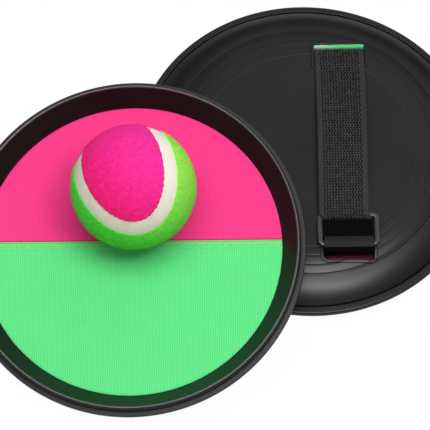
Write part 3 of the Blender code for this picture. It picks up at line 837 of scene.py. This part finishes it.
def fuzz(seed, edge_from_seam):
    """Loose fibres of the felt: thin three-sided tapers that lean, and bend over as they go.

    A fibre is a ring of three at its root, a narrower ring half way and a tip. Each lies at length times
    (a share of the way out plus a share of the lean), and the lean's share grows faster.
    """
    ball = sizes().ball
    rng = np.random.default_rng(seed)
    tries = rng.normal(size=(ball.fuzz_count * 3, 3))
    tries /= np.linalg.norm(tries, axis=1, keepdims=True)
    curve, towards = seam_frame(720)
    near = np.argmax(tries @ curve.T, axis=1)
    beyond = np.einsum("ij,ij->i", tries, towards[near]) * ball.radius
    root = tries[beyond > edge_from_seam - 0.0001][: ball.fuzz_count]
    count = len(root)
    lean = rng.normal(size=(count, 3))
    lean -= (lean * root).sum(axis=1, keepdims=True) * root
    lean /= np.linalg.norm(lean, axis=1, keepdims=True)
    size = ball.fuzz_length * rng.uniform(0.35, 1.0, count)[:, None]
    slant = rng.uniform(0.3, 1.3, count)[:, None]
    thick = ball.fuzz_thickness * rng.uniform(0.7, 1.3, count)[:, None]
    base = root * (ball.radius - 0.00025)
    middle = base + size * (0.55 * root + 0.35 * slant * lean)
    tip = base + size * (0.85 * root + 1.1 * slant * lean)
    binormal = np.cross(root, lean)
    swing = np.array([0, 2 * math.pi / 3, 4 * math.pi / 3])
    spoke = np.cos(swing)[None, :, None] * lean[:, None] + np.sin(swing)[None, :, None] * binormal[:, None]
    first = base[:, None] + spoke * thick[:, None]
    second = middle[:, None] + spoke * 0.75 * thick[:, None]
    points = np.concatenate([first, second, tip[:, None]], axis=1)
    start = 7 * np.arange(count)[:, None, None]
    sides = start + np.array([[0, 1, 4, 3], [1, 2, 5, 4], [2, 0, 3, 5]])
    ends = start + np.array([[3, 4, 6], [4, 5, 6], [5, 3, 6], [2, 1, 0]])
    return points.reshape(-1, 3), [sides.reshape(-1, 4), ends.reshape(-1, 3)]


def add_node(tree, kind, inputs=None, **settings):
    """Adds a node, sets its settings, and links or fills the inputs given by name or number."""
    made = tree.nodes.new(kind)
    for name, value in settings.items():
        setattr(made, name, value)
    for name, value in (inputs or {}).items():
        if isinstance(value, bpy.types.NodeSocket):
            tree.links.new(value, made.inputs[name])
        else:
            made.inputs[name].default_value = value
    return made


def maths(tree, operation, first, second=0.0):
    """The result of one maths node."""
    made = add_node(tree, "ShaderNodeMath", {0: first, 1: second}, operation=operation)
    return made.outputs[0]


def new_finish(name, tone, roughness, **sockets):
    """A material with a Principled shader. Returns the material, its tree and the shader."""
    made = bpy.data.materials.new(name)
    made.use_nodes = True
    tree = made.node_tree
    shader = tree.nodes["Principled BSDF"]
    shader.inputs["Base Color"].default_value = (*tone, 1)
    shader.inputs["Roughness"].default_value = roughness
    for socket, value in sockets.items():
        shader.inputs[socket.replace("_", " ")].default_value = value
    made.diffuse_color = (*tone, 1)
    return made, tree, shader


def wave(tree, value, pitch):
    """A sine between -1 and 1, with one wave in each pitch."""
    return maths(tree, "SINE", maths(tree, "MULTIPLY", value, 2 * math.pi / pitch))


def noise(tree, where, scale, detail=2.0, roughness=0.5):
    """Soft noise between 0 and 1, with this many patches in a metre."""
    inputs = {"Vector": where, "Scale": scale, "Detail": detail, "Roughness": roughness}
    return add_node(tree, "ShaderNodeTexNoise", inputs).outputs["Fac"]


def fabric_place(tree):
    """The place on a fabric, and its two parts: how far across and how far along."""
    where = add_node(tree, "ShaderNodeUVMap", uv_map="weave").outputs["UV"]
    parts = add_node(tree, "ShaderNodeSeparateXYZ", {0: where})
    return where, parts.outputs["X"], parts.outputs["Y"]


def blend(tree, share, low, high):
    """A colour between two, by a share."""
    made = add_node(tree, "ShaderNodeMix", data_type="RGBA")
    for slot, value in ((0, share), (6, low), (7, high)):
        if isinstance(value, bpy.types.NodeSocket):
            tree.links.new(value, made.inputs[slot])
        else:
            made.inputs[slot].default_value = value
    return made.outputs[2]


def stretch(tree, value, low, high, to_low, to_high):
    """A value carried from one range to another, and kept inside it."""
    made = add_node(
        tree,
        "ShaderNodeMapRange",
        {"Value": value, "From Min": low, "From Max": high, "To Min": to_low, "To Max": to_high},
    )
    return made.outputs["Result"]


def set_bump(tree, shader, height, depth):
    """Bump from a height between 0 and 1 that stands for this depth in metres."""
    bump = add_node(tree, "ShaderNodeBump", {"Strength": 1.0, "Distance": depth, "Height": height})
    tree.links.new(bump.outputs["Normal"], shader.inputs["Normal"])


def shade(tone, factor):
    """A colour made deeper or paler by a factor."""
    return (*[min(1, part * factor) for part in tone], 1)


def plastic_finish():
    """Moulded black plastic: semi-gloss, with a faint grain and slightly uneven gloss.

    Its colour is painted paler along the lip and on the bead's top, as painted highlights. The rim's outside
    and the ring lines are dull.
    """
    dish = sizes().dish
    made, tree, shader = new_finish("moulded_black", dish.tone, dish.roughness)
    shader.inputs["Specular IOR Level"].default_value = 0.35
    where = add_node(tree, "ShaderNodeTexCoord").outputs["Object"]
    cloudy = noise(tree, where, 38, 3)
    gloss = stretch(tree, cloudy, 0.3, 0.7, dish.roughness - 0.03, dish.roughness + 0.04)
    profile = add_node(tree, "ShaderNodeUVMap", uv_map="profile").outputs["UV"]
    parts = add_node(tree, "ShaderNodeSeparateXYZ", {0: profile})
    radius, depth = parts.outputs["X"], parts.outputs["Y"]
    # Masks of the lip and of the bead's top, where painted highlights go into the colour.
    top = stretch(tree, depth, 0.0004, 0.0008, 1, 0)
    inner = stretch(tree, radius, dish.lip_radius - 0.0007, dish.lip_radius - 0.0005, 1, 0)
    lip = maths(tree, "MULTIPLY", top, inner)
    above = stretch(tree, depth, dish.bead_start + 0.0012, dish.bead_start + 0.0020, 1, 0)
    out = stretch(tree, radius, dish.lip_radius + 0.0005, dish.lip_radius + 0.0010, 0, 1)
    bead = maths(tree, "MULTIPLY", above, out)
    step = (dish.plateau_radius - dish.flat_radius) / (dish.ring_count - 1)
    wrapped = maths(tree, "MODULO", maths(tree, "ADD", radius, step / 2 - dish.flat_radius), step)
    line = band_share(tree, wrapped, step / 2, 0.9 * dish.ring_half_width)
    ringed = band_share(tree, radius, (dish.plateau_radius + dish.flat_radius) / 2, 2.2 * step)
    line = maths(tree, "MULTIPLY", line, maths(tree, "GREATER_THAN", ringed, 0.01))
    # Painted highlights: the lip and the bead's top are painted paler than the plastic.
    highlight_painted = blend(tree, lip, shade(dish.tone, 1), shade(dish.tone, dish.lip_painted_highlight))
    highlight_painted = blend(tree, bead, highlight_painted, shade(dish.tone, dish.bead_painted_highlight))
    tree.links.new(highlight_painted, shader.inputs["Base Color"])
    rim = stretch(tree, radius, dish.lip_radius - 0.0004, dish.lip_radius - 0.0002, 0, 0.26)
    above_ledge = stretch(tree, depth, dish.ledge_depth - 0.0012, dish.ledge_depth - 0.0006, 1, 0)
    dull = maths(tree, "ADD", gloss, maths(tree, "MULTIPLY", line, 0.35))
    dull = maths(tree, "ADD", dull, maths(tree, "MULTIPLY", rim, above_ledge))
    dull = maths(tree, "SUBTRACT", dull, maths(tree, "MULTIPLY", lip, 0.14))
    tree.links.new(dull, shader.inputs["Roughness"])
    set_bump(tree, shader, noise(tree, where, 2600, 2), 0.000008)
    return made


def ring_finish():
    """The buckle ring's plastic: a little lighter and rounder in gloss than the dish."""
    made, tree, shader = new_finish("buckle_black", sizes().buckle.tone, 0.30)
    where = add_node(tree, "ShaderNodeTexCoord").outputs["Object"]
    gloss = stretch(tree, noise(tree, where, 240, 2), 0.3, 0.7, 0.26, 0.36)
    tree.links.new(gloss, shader.inputs["Roughness"])
    set_bump(tree, shader, noise(tree, where, 2200, 2), 0.000010)
    return made


def lining_finish():
    """The green fabric's turned-up edge, a whitish pale green at one end."""
    pad, strap = sizes().pad, sizes().strap
    made, tree, shader = new_finish("green_turned_edge", pad.green, 0.8, Sheen_Weight=0.3)
    where, across, _ = fabric_place(tree)
    whitish = stretch(tree, across, strap.x - strap.width / 2, strap.x, 1, 0)
    pile = noise(tree, where, 900, 3)
    share = maths(tree, "MULTIPLY", whitish, stretch(tree, pile, 0.3, 0.6, 0.5, 1))
    tint = blend(tree, share, shade(pad.green, 0.72), shade(pad.whitish, 1))
    tree.links.new(tint, shader.inputs["Base Color"])
    set_bump(tree, shader, pile, 0.0002)
    return made


def pad_finish(name, tone, side):
    """Loop fabric: raised ribs along Y with a soft broken pile, darker between the ribs.

    Beside the split, the green half has a pale folded edge, a dark line of painted shade and a row of
    stitches, and the fold's shadow is painted on the pink half.
    """
    pad = sizes().pad
    made, tree, shader = new_finish(name, tone, 0.75, Sheen_Weight=0.15, Sheen_Roughness=0.5)
    shader.inputs["Specular IOR Level"].default_value = 0.5
    where, across, along = fabric_place(tree)
    rib = wave(tree, across, pad.rib_pitch)
    cross = wave(tree, along, 0.8 * pad.rib_pitch)
    pile = noise(tree, where, 1500, 2)
    cloudy = noise(tree, where, 60, 3)
    height = maths(tree, "ADD", stretch(tree, rib, -1, 1, 0, 0.6), stretch(tree, cross, -1, 1, 0, 0.15))
    height = maths(tree, "ADD", height, maths(tree, "MULTIPLY", pile, 0.8))
    level = maths(tree, "ADD", height, stretch(tree, cloudy, 0.3, 0.7, -0.05, 0.05))
    tint = blend(tree, stretch(tree, level, 0.3, 1.3, 0, 1), shade(tone, 0.76), shade(tone, 1.12))
    from_split = maths(tree, "MULTIPLY", maths(tree, "SUBTRACT", along, pad.split_y), side)
    if side > 0:
        # Painted shadow of the green half's fold on the pink half beside the split.
        painted_crease_shade = stretch(tree, from_split, 0.0003, 0.0008, 1, 0)
        tint = blend(tree, maths(tree, "MULTIPLY", painted_crease_shade, 0.6), tint, shade(tone, 0.25))
    else:
        stitch = stretch(tree, wave(tree, across, pad.stitch_pitch), -0.2, 0.5, 0, 0.8)
        row = band_share(tree, from_split, pad.stitch_line, 0.0005)
        uneven = stretch(tree, noise(tree, where, 420, 1), 0.40, 0.58, 0.1, 1)
        stitches = maths(tree, "MULTIPLY", maths(tree, "MULTIPLY", row, uneven), stitch)
        hem = stretch(tree, from_split, pad.hem_width - 0.0010, pad.hem_width, 0.5, 0)
        # Painted shade: a dark line beside the fold.
        painted_crease_shade = band_share(tree, from_split, 0.00085, 0.0004)
        fold = stretch(tree, from_split, 0.0004, 0.00065, 1, 0)
        tint = blend(tree, hem, tint, shade(pad.hem, 1))
        tint = blend(tree, stitches, tint, shade(tone, 0.55))
        tint = blend(tree, maths(tree, "MULTIPLY", painted_crease_shade, 0.8), tint, shade(pad.painted_crease_shade, 1))
        tint = blend(tree, maths(tree, "MULTIPLY", fold, 0.9), tint, shade(pad.fold, 1))
    tree.links.new(tint, shader.inputs["Base Color"])
    set_bump(tree, shader, height, 0.00012)
    return made


def band_share(tree, value, middle, half_width):
    """1 at the middle of a band, falling to 0 at its two edges."""
    away = maths(tree, "ABSOLUTE", maths(tree, "SUBTRACT", value, middle))
    return stretch(tree, away, 0.4 * half_width, half_width, 1, 0)


def backing_finish(name, tone):
    """The back of the pad's fabric: plain, matt and deeper in colour than its face; the pink back's deep
    colour is painted shade.
    """
    made, tree, shader = new_finish(name, tone, 0.9)
    where, _, _ = fabric_place(tree)
    pile = noise(tree, where, 700, 3)
    tree.links.new(blend(tree, pile, shade(tone, 0.6), shade(tone, 1.4)), shader.inputs["Base Color"])
    set_bump(tree, shader, pile, 0.0001)
    return made


def webbing_finish():
    """Black webbing: a worn herringbone of slanted threads that turn back again and again.

    Its selvages and the loop round the ring's lower bar have only fine cross threads. The raised threads are
    painted paler as painted highlights, and the gaps between them darker as painted shade.
    """
    strap = sizes().strap
    made, tree, shader = new_finish("black_webbing", strap.tone, 0.6, Sheen_Weight=0.02, Sheen_Roughness=0.4)
    shader.inputs["Specular IOR Level"].default_value = 0.15
    where, across, along = fabric_place(tree)
    zigzag = maths(tree, "PINGPONG", along, strap.zigzag)
    slanted = maths(tree, "ADD", across, maths(tree, "MULTIPLY", zigzag, 0.75))
    thread = wave(tree, slanted, strap.weave_pitch)
    dash = maths(tree, "ABSOLUTE", wave(tree, along, 2 * strap.zigzag))
    picks = wave(tree, along, strap.pick_pitch)
    weave = maths(tree, "MULTIPLY", stretch(tree, thread, -0.7, 1, 0, 1), stretch(tree, dash, 0, 1, 0.25, 1))
    worn = stretch(tree, noise(tree, where, 330, 2), 0.35, 0.62, 0.55, 1)
    weave = maths(tree, "MULTIPLY", weave, worn)
    plain = maths(tree, "ADD", stretch(tree, picks, -1, 1, 0, 0.2), 0.28)
    from_middle = maths(tree, "ABSOLUTE", across)
    selvage = maths(tree, "GREATER_THAN", from_middle, strap.width / 2 - strap.selvage)
    looped = maths(tree, "LESS_THAN", along, strap.looped)
    plain = maths(tree, "SUBTRACT", plain, maths(tree, "MULTIPLY", looped, 0.14))
    edge = maths(tree, "MAXIMUM", selvage, looped)
    mixed = add_node(tree, "ShaderNodeMix", {"Factor": edge, "A": weave, "B": plain}, data_type="FLOAT")
    fibres = stretch(tree, noise(tree, where, 2500, 2), 0.3, 0.7, -0.12, 0.12)
    height = maths(tree, "ADD", mixed.outputs[0], fibres)
    # Painted highlights on the raised threads and painted shade between them.
    level = stretch(tree, height, 0.1, 1.0, 0, 1)
    tint = blend(tree, level, shade(strap.tone, 0.03), shade(strap.tone, 5.6))
    tree.links.new(tint, shader.inputs["Base Color"])
    set_bump(tree, shader, height, 0.00030)
    return made


def painted_shade_webbing_finish():
    """Near-black matt webbing with fine cross threads: painted shade on the leg, matt webbing with painted
    shade on the sewn end.
    """
    strap = sizes().strap
    made, tree, shader = new_finish("painted_shade_webbing", strap.painted_shade, 0.9)
    shader.inputs["Specular IOR Level"].default_value = 0.06
    where, _, along = fabric_place(tree)
    picks = stretch(tree, wave(tree, along, strap.pick_pitch), -1, 1, 0, 0.5)
    height = maths(tree, "ADD", picks, noise(tree, where, 2500, 2))
    level = stretch(tree, height, 0.3, 1.1, 0, 1)
    tint = blend(tree, level, shade(strap.painted_shade, 0.53), shade(strap.painted_shade, 1.87))
    tree.links.new(tint, shader.inputs["Base Color"])
    set_bump(tree, shader, height, 0.0002)
    return made


def felt_finish(name, tone, painted_shade_tone, centre):
    """Brushed felt: a soft mottled pile with some sheen and no gloss, and painted light and shade from top
    to bottom.
    """
    made, tree, shader = new_finish(name, tone, 0.95, Sheen_Weight=0.35, Sheen_Roughness=0.6)
    shader.inputs["Sheen Tint"].default_value = shade(tone, 1.2)
    shader.inputs["Specular IOR Level"].default_value = 0.1
    where = add_node(tree, "ShaderNodeTexCoord").outputs["Object"]
    pile = noise(tree, where, 1400, 3, 0.6)
    tufts = noise(tree, where, 420, 2)
    height = maths(tree, "ADD", maths(tree, "MULTIPLY", pile, 0.6), maths(tree, "MULTIPLY", tufts, 0.5))
    # Painted light and shade, from the lower near side to the upper far side.
    share = painted_light_share(tree, where, centre)
    base = blend(tree, share, shade(painted_shade_tone, 1), shade(tone, 1))
    dark = blend(tree, share, shade(painted_shade_tone, 0.66), shade(tone, 0.70))
    tint = blend(tree, stretch(tree, height, 0.35, 0.70, 0, 1), dark, base)
    tree.links.new(tint, shader.inputs["Base Color"])
    set_bump(tree, shader, height, 0.00035)
    return made


def painted_light_share(tree, where, centre):
    """Share of painted light: 0 on the ball's low near side to 1 on its upper far side, the distance along a
    slanted direction.
    """
    radius = sizes().ball.radius
    out = add_node(tree, "ShaderNodeVectorMath", {0: where, 1: centre}, operation="SUBTRACT").outputs[0]
    rise = add_node(tree, "ShaderNodeVectorMath", {0: out, 1: (0.45, 0.45, 0.77)}, operation="DOT_PRODUCT")
    return stretch(tree, rise.outputs["Value"], -0.35 * radius, 0.85 * radius, 0, 1)


def band_finish(centre):
    """The cream seam band: matt rubber cement with a faint unevenness, and painted shade on its lower side.
    """
    ball = sizes().ball
    made, tree, shader = new_finish("cream_band", ball.cream, 0.7)
    where = add_node(tree, "ShaderNodeTexCoord").outputs["Object"]
    smear = noise(tree, where, 300, 3)
    # Painted shade towards the band's lower side.
    share = painted_light_share(tree, where, centre)
    base = blend(tree, share, shade(ball.cream_painted_shade, 1), shade(ball.cream, 1))
    dull = blend(tree, share, shade(ball.cream_painted_shade, 0.9), shade(ball.cream, 0.93))
    tint = blend(tree, stretch(tree, smear, 0.3, 0.7, 0, 1), dull, base)
    tree.links.new(tint, shader.inputs["Base Color"])
    set_bump(tree, shader, noise(tree, where, 900, 2), 0.00006)
    return made


def floor_finish():
    """A plain white floor: white to the camera and in reflections, and it still takes a soft shadow."""
    made = bpy.data.materials.new("white_floor")
    made.use_nodes = True
    tree = made.node_tree
    tree.nodes.clear()
    matt = add_node(tree, "ShaderNodeBsdfDiffuse", {"Color": (0.8, 0.8, 0.8, 1)})
    white = add_node(tree, "ShaderNodeEmission", {"Color": (1, 1, 1, 1), "Strength": 1.0})
    path = add_node(tree, "ShaderNodeLightPath")
    seen = maths(tree, "MAXIMUM", path.outputs["Is Camera Ray"], path.outputs["Is Glossy Ray"])
    seen = maths(tree, "MAXIMUM", seen, path.outputs["Is Transmission Ray"])
    mixed = add_node(tree, "ShaderNodeMixShader", {0: maths(tree, "MULTIPLY", seen, 0.97)})
    tree.links.new(matt.outputs[0], mixed.inputs[1])
    tree.links.new(white.outputs[0], mixed.inputs[2])
    out = add_node(tree, "ShaderNodeOutputMaterial")
    tree.links.new(mixed.outputs[0], out.inputs["Surface"])
    return made


class CATCHSET_OT_dishes(bpy.types.Operator):
    """Builds the two moulded dishes"""

    bl_idname = "catch_set.dishes"
    bl_label = "Dishes"

    def execute(self, context):
        finish = plastic_finish()
        shape = dish_mesh()
        for which in ("front", "rear"):
            mesh = shape.copy()
            name = f"{which}_moulded_dish"
            place = paddle_frame(which)
            piece = add_piece(name, mesh, place, finish, [f"{which}_dish"], 34)
            flats = piece.modifiers.new("Flats", "WEIGHTED_NORMAL")
            flats.keep_sharp = True
        return {"FINISHED"}


class CATCHSET_OT_pads(bpy.types.Operator):
    """Builds the pink and green halves of both catching pads"""

    bl_idname = "catch_set.pads"
    bl_label = "Catching pads"

    def execute(self, context):
        pad = sizes().pad
        halves = (("pink", 1, pad.pink, pad.pink_back_painted_shade), ("green", -1, pad.green, pad.green_back))
        for tint, side, tone, back in halves:
            finish = pad_finish(f"{tint}_loop_fabric", tone, side)
            backing = backing_finish(f"{tint}_fabric_back", back)
            for which in ("front", "rear"):
                points, faces, uv = half_pad(side)
                place = paddle_frame(which)
                name = f"{which}_{tint}_loop_pad"
                mesh = make_mesh(name, points, faces, uv)
                normals = np.empty(3 * len(mesh.polygons), np.float32)
                mesh.polygons.foreach_get("normal", normals)
                under = (normals[2::3] < -0.5).astype(np.int32)
                piece = add_piece(name, mesh, place, finish, [f"{which}_pad_{tint}"])
                piece.data.materials.append(backing)
                piece.data.polygons.foreach_set("material_index", under)
        edge = lining_finish()
        for which in ("front", "rear"):
            points, faces, uv = window_lining()
            name = f"{which}_green_turned_edge"
            mesh = make_mesh(name, points, faces, uv)
            piece = add_piece(name, mesh, paddle_frame(which), edge)
        return {"FINISHED"}


class CATCHSET_OT_straps(bpy.types.Operator):
    """Builds the webbing hand strap of each paddle"""

    bl_idname = "catch_set.straps"
    bl_label = "Hand straps"

    def execute(self, context):
        strap = sizes().strap
        finish, painted_shade = webbing_finish(), painted_shade_webbing_finish()
        for which, bow in (("front", strap.pressed_bow), ("rear", strap.bow)):
            name = f"{which}_webbing_strap"
            points, faces, uv, shaded = webbing(bow)
            mesh = make_mesh(name, points, faces, uv)
            place = paddle_frame(which)
            piece = add_piece(name, mesh, place, finish, [f"{which}_hand_strap"])
            piece.data.materials.append(painted_shade)
            piece.data.polygons.foreach_set("material_index", shaded.astype(np.int32))
        return {"FINISHED"}


class CATCHSET_OT_buckle_rings(bpy.types.Operator):
    """Builds the buckle ring of each paddle"""

    bl_idname = "catch_set.buckle_rings"
    bl_label = "Buckle rings"

    def execute(self, context):
        finish = ring_finish()
        for which in ("front", "rear"):
            name = f"{which}_ring"
            mesh = make_mesh(name, *buckle_ring())
            add_piece(name, mesh, paddle_frame(which), finish, [f"{which}_buckle_ring"], 60)
        return {"FINISHED"}


class CATCHSET_OT_ball(bpy.types.Operator):
    """Builds the ball: its two felt panels, their loose fibres and the seam band"""

    bl_idname = "catch_set.ball"
    bl_label = "Felt ball"

    def execute(self, context):
        ball, pad = sizes().ball, sizes().pad
        spot = (ball.x, ball.y, ball.radius + sizes().strap.gap - pad.depth)
        turn = Euler(ball.turn).to_matrix().to_4x4()
        place = paddle_frame("front") @ Matrix.Translation(spot) @ turn
        cream = band_finish(place.translation)
        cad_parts["ball_core"].data.materials.clear()
        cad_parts["ball_core"].data.materials.append(cream)
        mesh = make_mesh("seam_band", *seam_band())
        add_piece("seam_band", mesh, place, cream, ["ball_seam_band"], 60)
        panels = (
            ("pink", 1, ball.pink, ball.pink_painted_shade, ball.band_to_pink, ball.pink_ragged),
            ("green", -1, ball.green, ball.green_painted_shade, ball.band_to_green, ball.green_ragged),
        )
        for tint, side, tone, painted_shade_tone, start, ragged_by in panels:
            finish = felt_finish(f"{tint}_felt", tone, painted_shade_tone, place.translation)
            there = place @ panel_turn(side)
            mesh = make_mesh(f"{tint}_panel", *felt_panel(PANEL_SEED + side, start, ragged_by))
            add_piece(f"{tint}_panel", mesh, there, finish, [f"ball_felt_{tint}"], 70)
            mesh = make_mesh(f"{tint}_fuzz", *fuzz(FUZZ_SEED + side, start))
            add_piece(f"{tint}_fuzz", mesh, there, finish, sharp=180)
        return {"FINISHED"}


class CATCHSET_OT_stage(bpy.types.Operator):
    """Builds the floor, the lights and the camera"""

    bl_idname = "catch_set.stage"
    bl_label = "Stage"

    def execute(self, context):
        stage = sizes().stage
        scene = context.scene
        scene.view_settings.view_transform = "Standard"
        corners = np.array([(-8, -8, 0), (8, -8, 0), (8, 8, 0), (-8, 8, 0)], float)
        mesh = bpy.data.meshes.new("floor")
        mesh.from_pydata(corners.tolist(), [], [(0, 1, 2, 3)])
        mesh.materials.append(floor_finish())
        floor = bpy.data.objects.new("floor", mesh)
        floor.location.z = -0.0001
        scene.collection.objects.link(floor)
        add_lights(scene, stage)
        add_camera(scene, stage)
        return {"FINISHED"}


def add_soft_light(name, power, size, azimuth, elevation, distance):
    """A square light that faces the object. Azimuth is counted from +X, towards +Y."""
    lamp = bpy.data.lights.new(name, "AREA")
    lamp.shape = "RECTANGLE"
    lamp.size, lamp.size_y = size
    lamp.energy = power
    light = bpy.data.objects.new(name, lamp)
    turn, rise = math.radians(azimuth), math.radians(elevation)
    out = Vector((math.cos(rise) * math.cos(turn), math.cos(rise) * math.sin(turn), math.sin(rise)))
    light.location = out * distance
    light.rotation_mode = "QUATERNION"
    light.rotation_quaternion = out.to_track_quat("Z", "Y")
    light.visible_camera = False
    bpy.context.scene.collection.objects.link(light)


def add_lights(scene, stage):
    """Three soft lights, and a surround bright overhead, dim at the sides and white to the camera."""
    add_soft_light("overhead", stage.key, size=(1.6, 0.8), azimuth=-90, elevation=83, distance=2.0)
    add_soft_light("highlight", stage.accent, size=(0.36, 0.36), azimuth=-50, elevation=70, distance=2.0)
    add_soft_light("behind", stage.back, size=(2.4, 1.2), azimuth=75, elevation=42, distance=2.2)
    world = bpy.data.worlds.new("soft_surround")
    scene.world = world
    world.use_nodes = True
    tree = world.node_tree
    tree.nodes.clear()
    path = add_node(tree, "ShaderNodeLightPath")
    direction = add_node(tree, "ShaderNodeTexCoord").outputs["Generated"]
    height = add_node(tree, "ShaderNodeSeparateXYZ", {0: direction}).outputs["Z"]
    strength = stretch(tree, height, 0.35, 0.85, stage.world_low, stage.world)
    around = add_node(tree, "ShaderNodeBackground", {"Color": (1, 1, 1, 1), "Strength": strength})
    white = add_node(tree, "ShaderNodeBackground", {"Color": (1, 1, 1, 1), "Strength": 1.0})
    mixed = add_node(tree, "ShaderNodeMixShader", {0: path.outputs["Is Camera Ray"]})
    tree.links.new(around.outputs[0], mixed.inputs[1])
    tree.links.new(white.outputs[0], mixed.inputs[2])
    out = add_node(tree, "ShaderNodeOutputWorld")
    tree.links.new(mixed.outputs[0], out.inputs["Surface"])


def add_camera(scene, stage):
    """The camera looks down at the set. Its aim is measured from the rear dish's centre on the floor."""
    rise, roll = stage.elevation, stage.roll
    right = Vector((1, 0, 0))
    up = Vector((0, math.sin(rise), math.cos(rise)))
    back = Vector((0, -math.cos(rise), math.sin(rise)))
    across = right * math.cos(roll) + up * math.sin(roll)
    above = up * math.cos(roll) - right * math.sin(roll)
    lens = bpy.data.cameras.new("camera")
    lens.sensor_width = 36
    lens.lens = stage.focal * 36 / IMAGE_SIDE
    lens.clip_end = 100
    camera = bpy.data.objects.new("camera", lens)
    centre = (rear_low + rear_high) / 2
    aim = Vector((centre.x, centre.y, 0)) - across * stage.aim_x - above * stage.aim_y
    turn = Matrix((across, above, back)).transposed().to_4x4()
    camera.matrix_world = Matrix.Translation(aim + back * stage.distance) @ turn
    scene.collection.objects.link(camera)
    scene.camera = camera


OPERATORS = (
    CATCHSET_OT_dishes,
    CATCHSET_OT_pads,
    CATCHSET_OT_straps,
    CATCHSET_OT_buckle_rings,
    CATCHSET_OT_ball,
    CATCHSET_OT_stage,
)


class CATCHSET_PT_panel(bpy.types.Panel):
    """Lists the pieces of the catch set"""

    bl_idname = "CATCHSET_PT_panel"
    bl_label = "Catch set"
    bl_space_type = "VIEW_3D"
    bl_region_type = "UI"
    bl_category = "Catch set"

    def draw(self, context):
        for operator in OPERATORS:
            self.layout.operator(operator.bl_idname)
        for group in ("placing", "dish", "pad", "strap", "buckle", "ball", "stage"):
            box = self.layout.box()
            box.label(text=group.capitalize())
            settings = getattr(context.scene.catch_set, group)
            for name in settings.__annotations__:
                box.prop(settings, name)


CLASSES = (
    PlacingSettings,
    DishSettings,
    PadSettings,
    StrapSettings,
    BuckleSettings,
    BallSettings,
    StageSettings,
    CatchSetSettings,
    *OPERATORS,
    CATCHSET_PT_panel,
)


def register():
    """Makes the settings, operators and panel known to Blender."""
    for item in CLASSES:
        bpy.utils.register_class(item)
    bpy.types.Scene.catch_set = PointerProperty(type=CatchSetSettings)


def unregister():
    """Takes them out again."""
    del bpy.types.Scene.catch_set
    for item in reversed(CLASSES):
        bpy.utils.unregister_class(item)


def main():
    """Builds the whole scene."""
    register()
    bpy.ops.catch_set.dishes()
    bpy.ops.catch_set.pads()
    bpy.ops.catch_set.straps()
    bpy.ops.catch_set.buckle_rings()
    bpy.ops.catch_set.ball()
    bpy.ops.catch_set.stage()


if __name__ == "__main__":
    main()
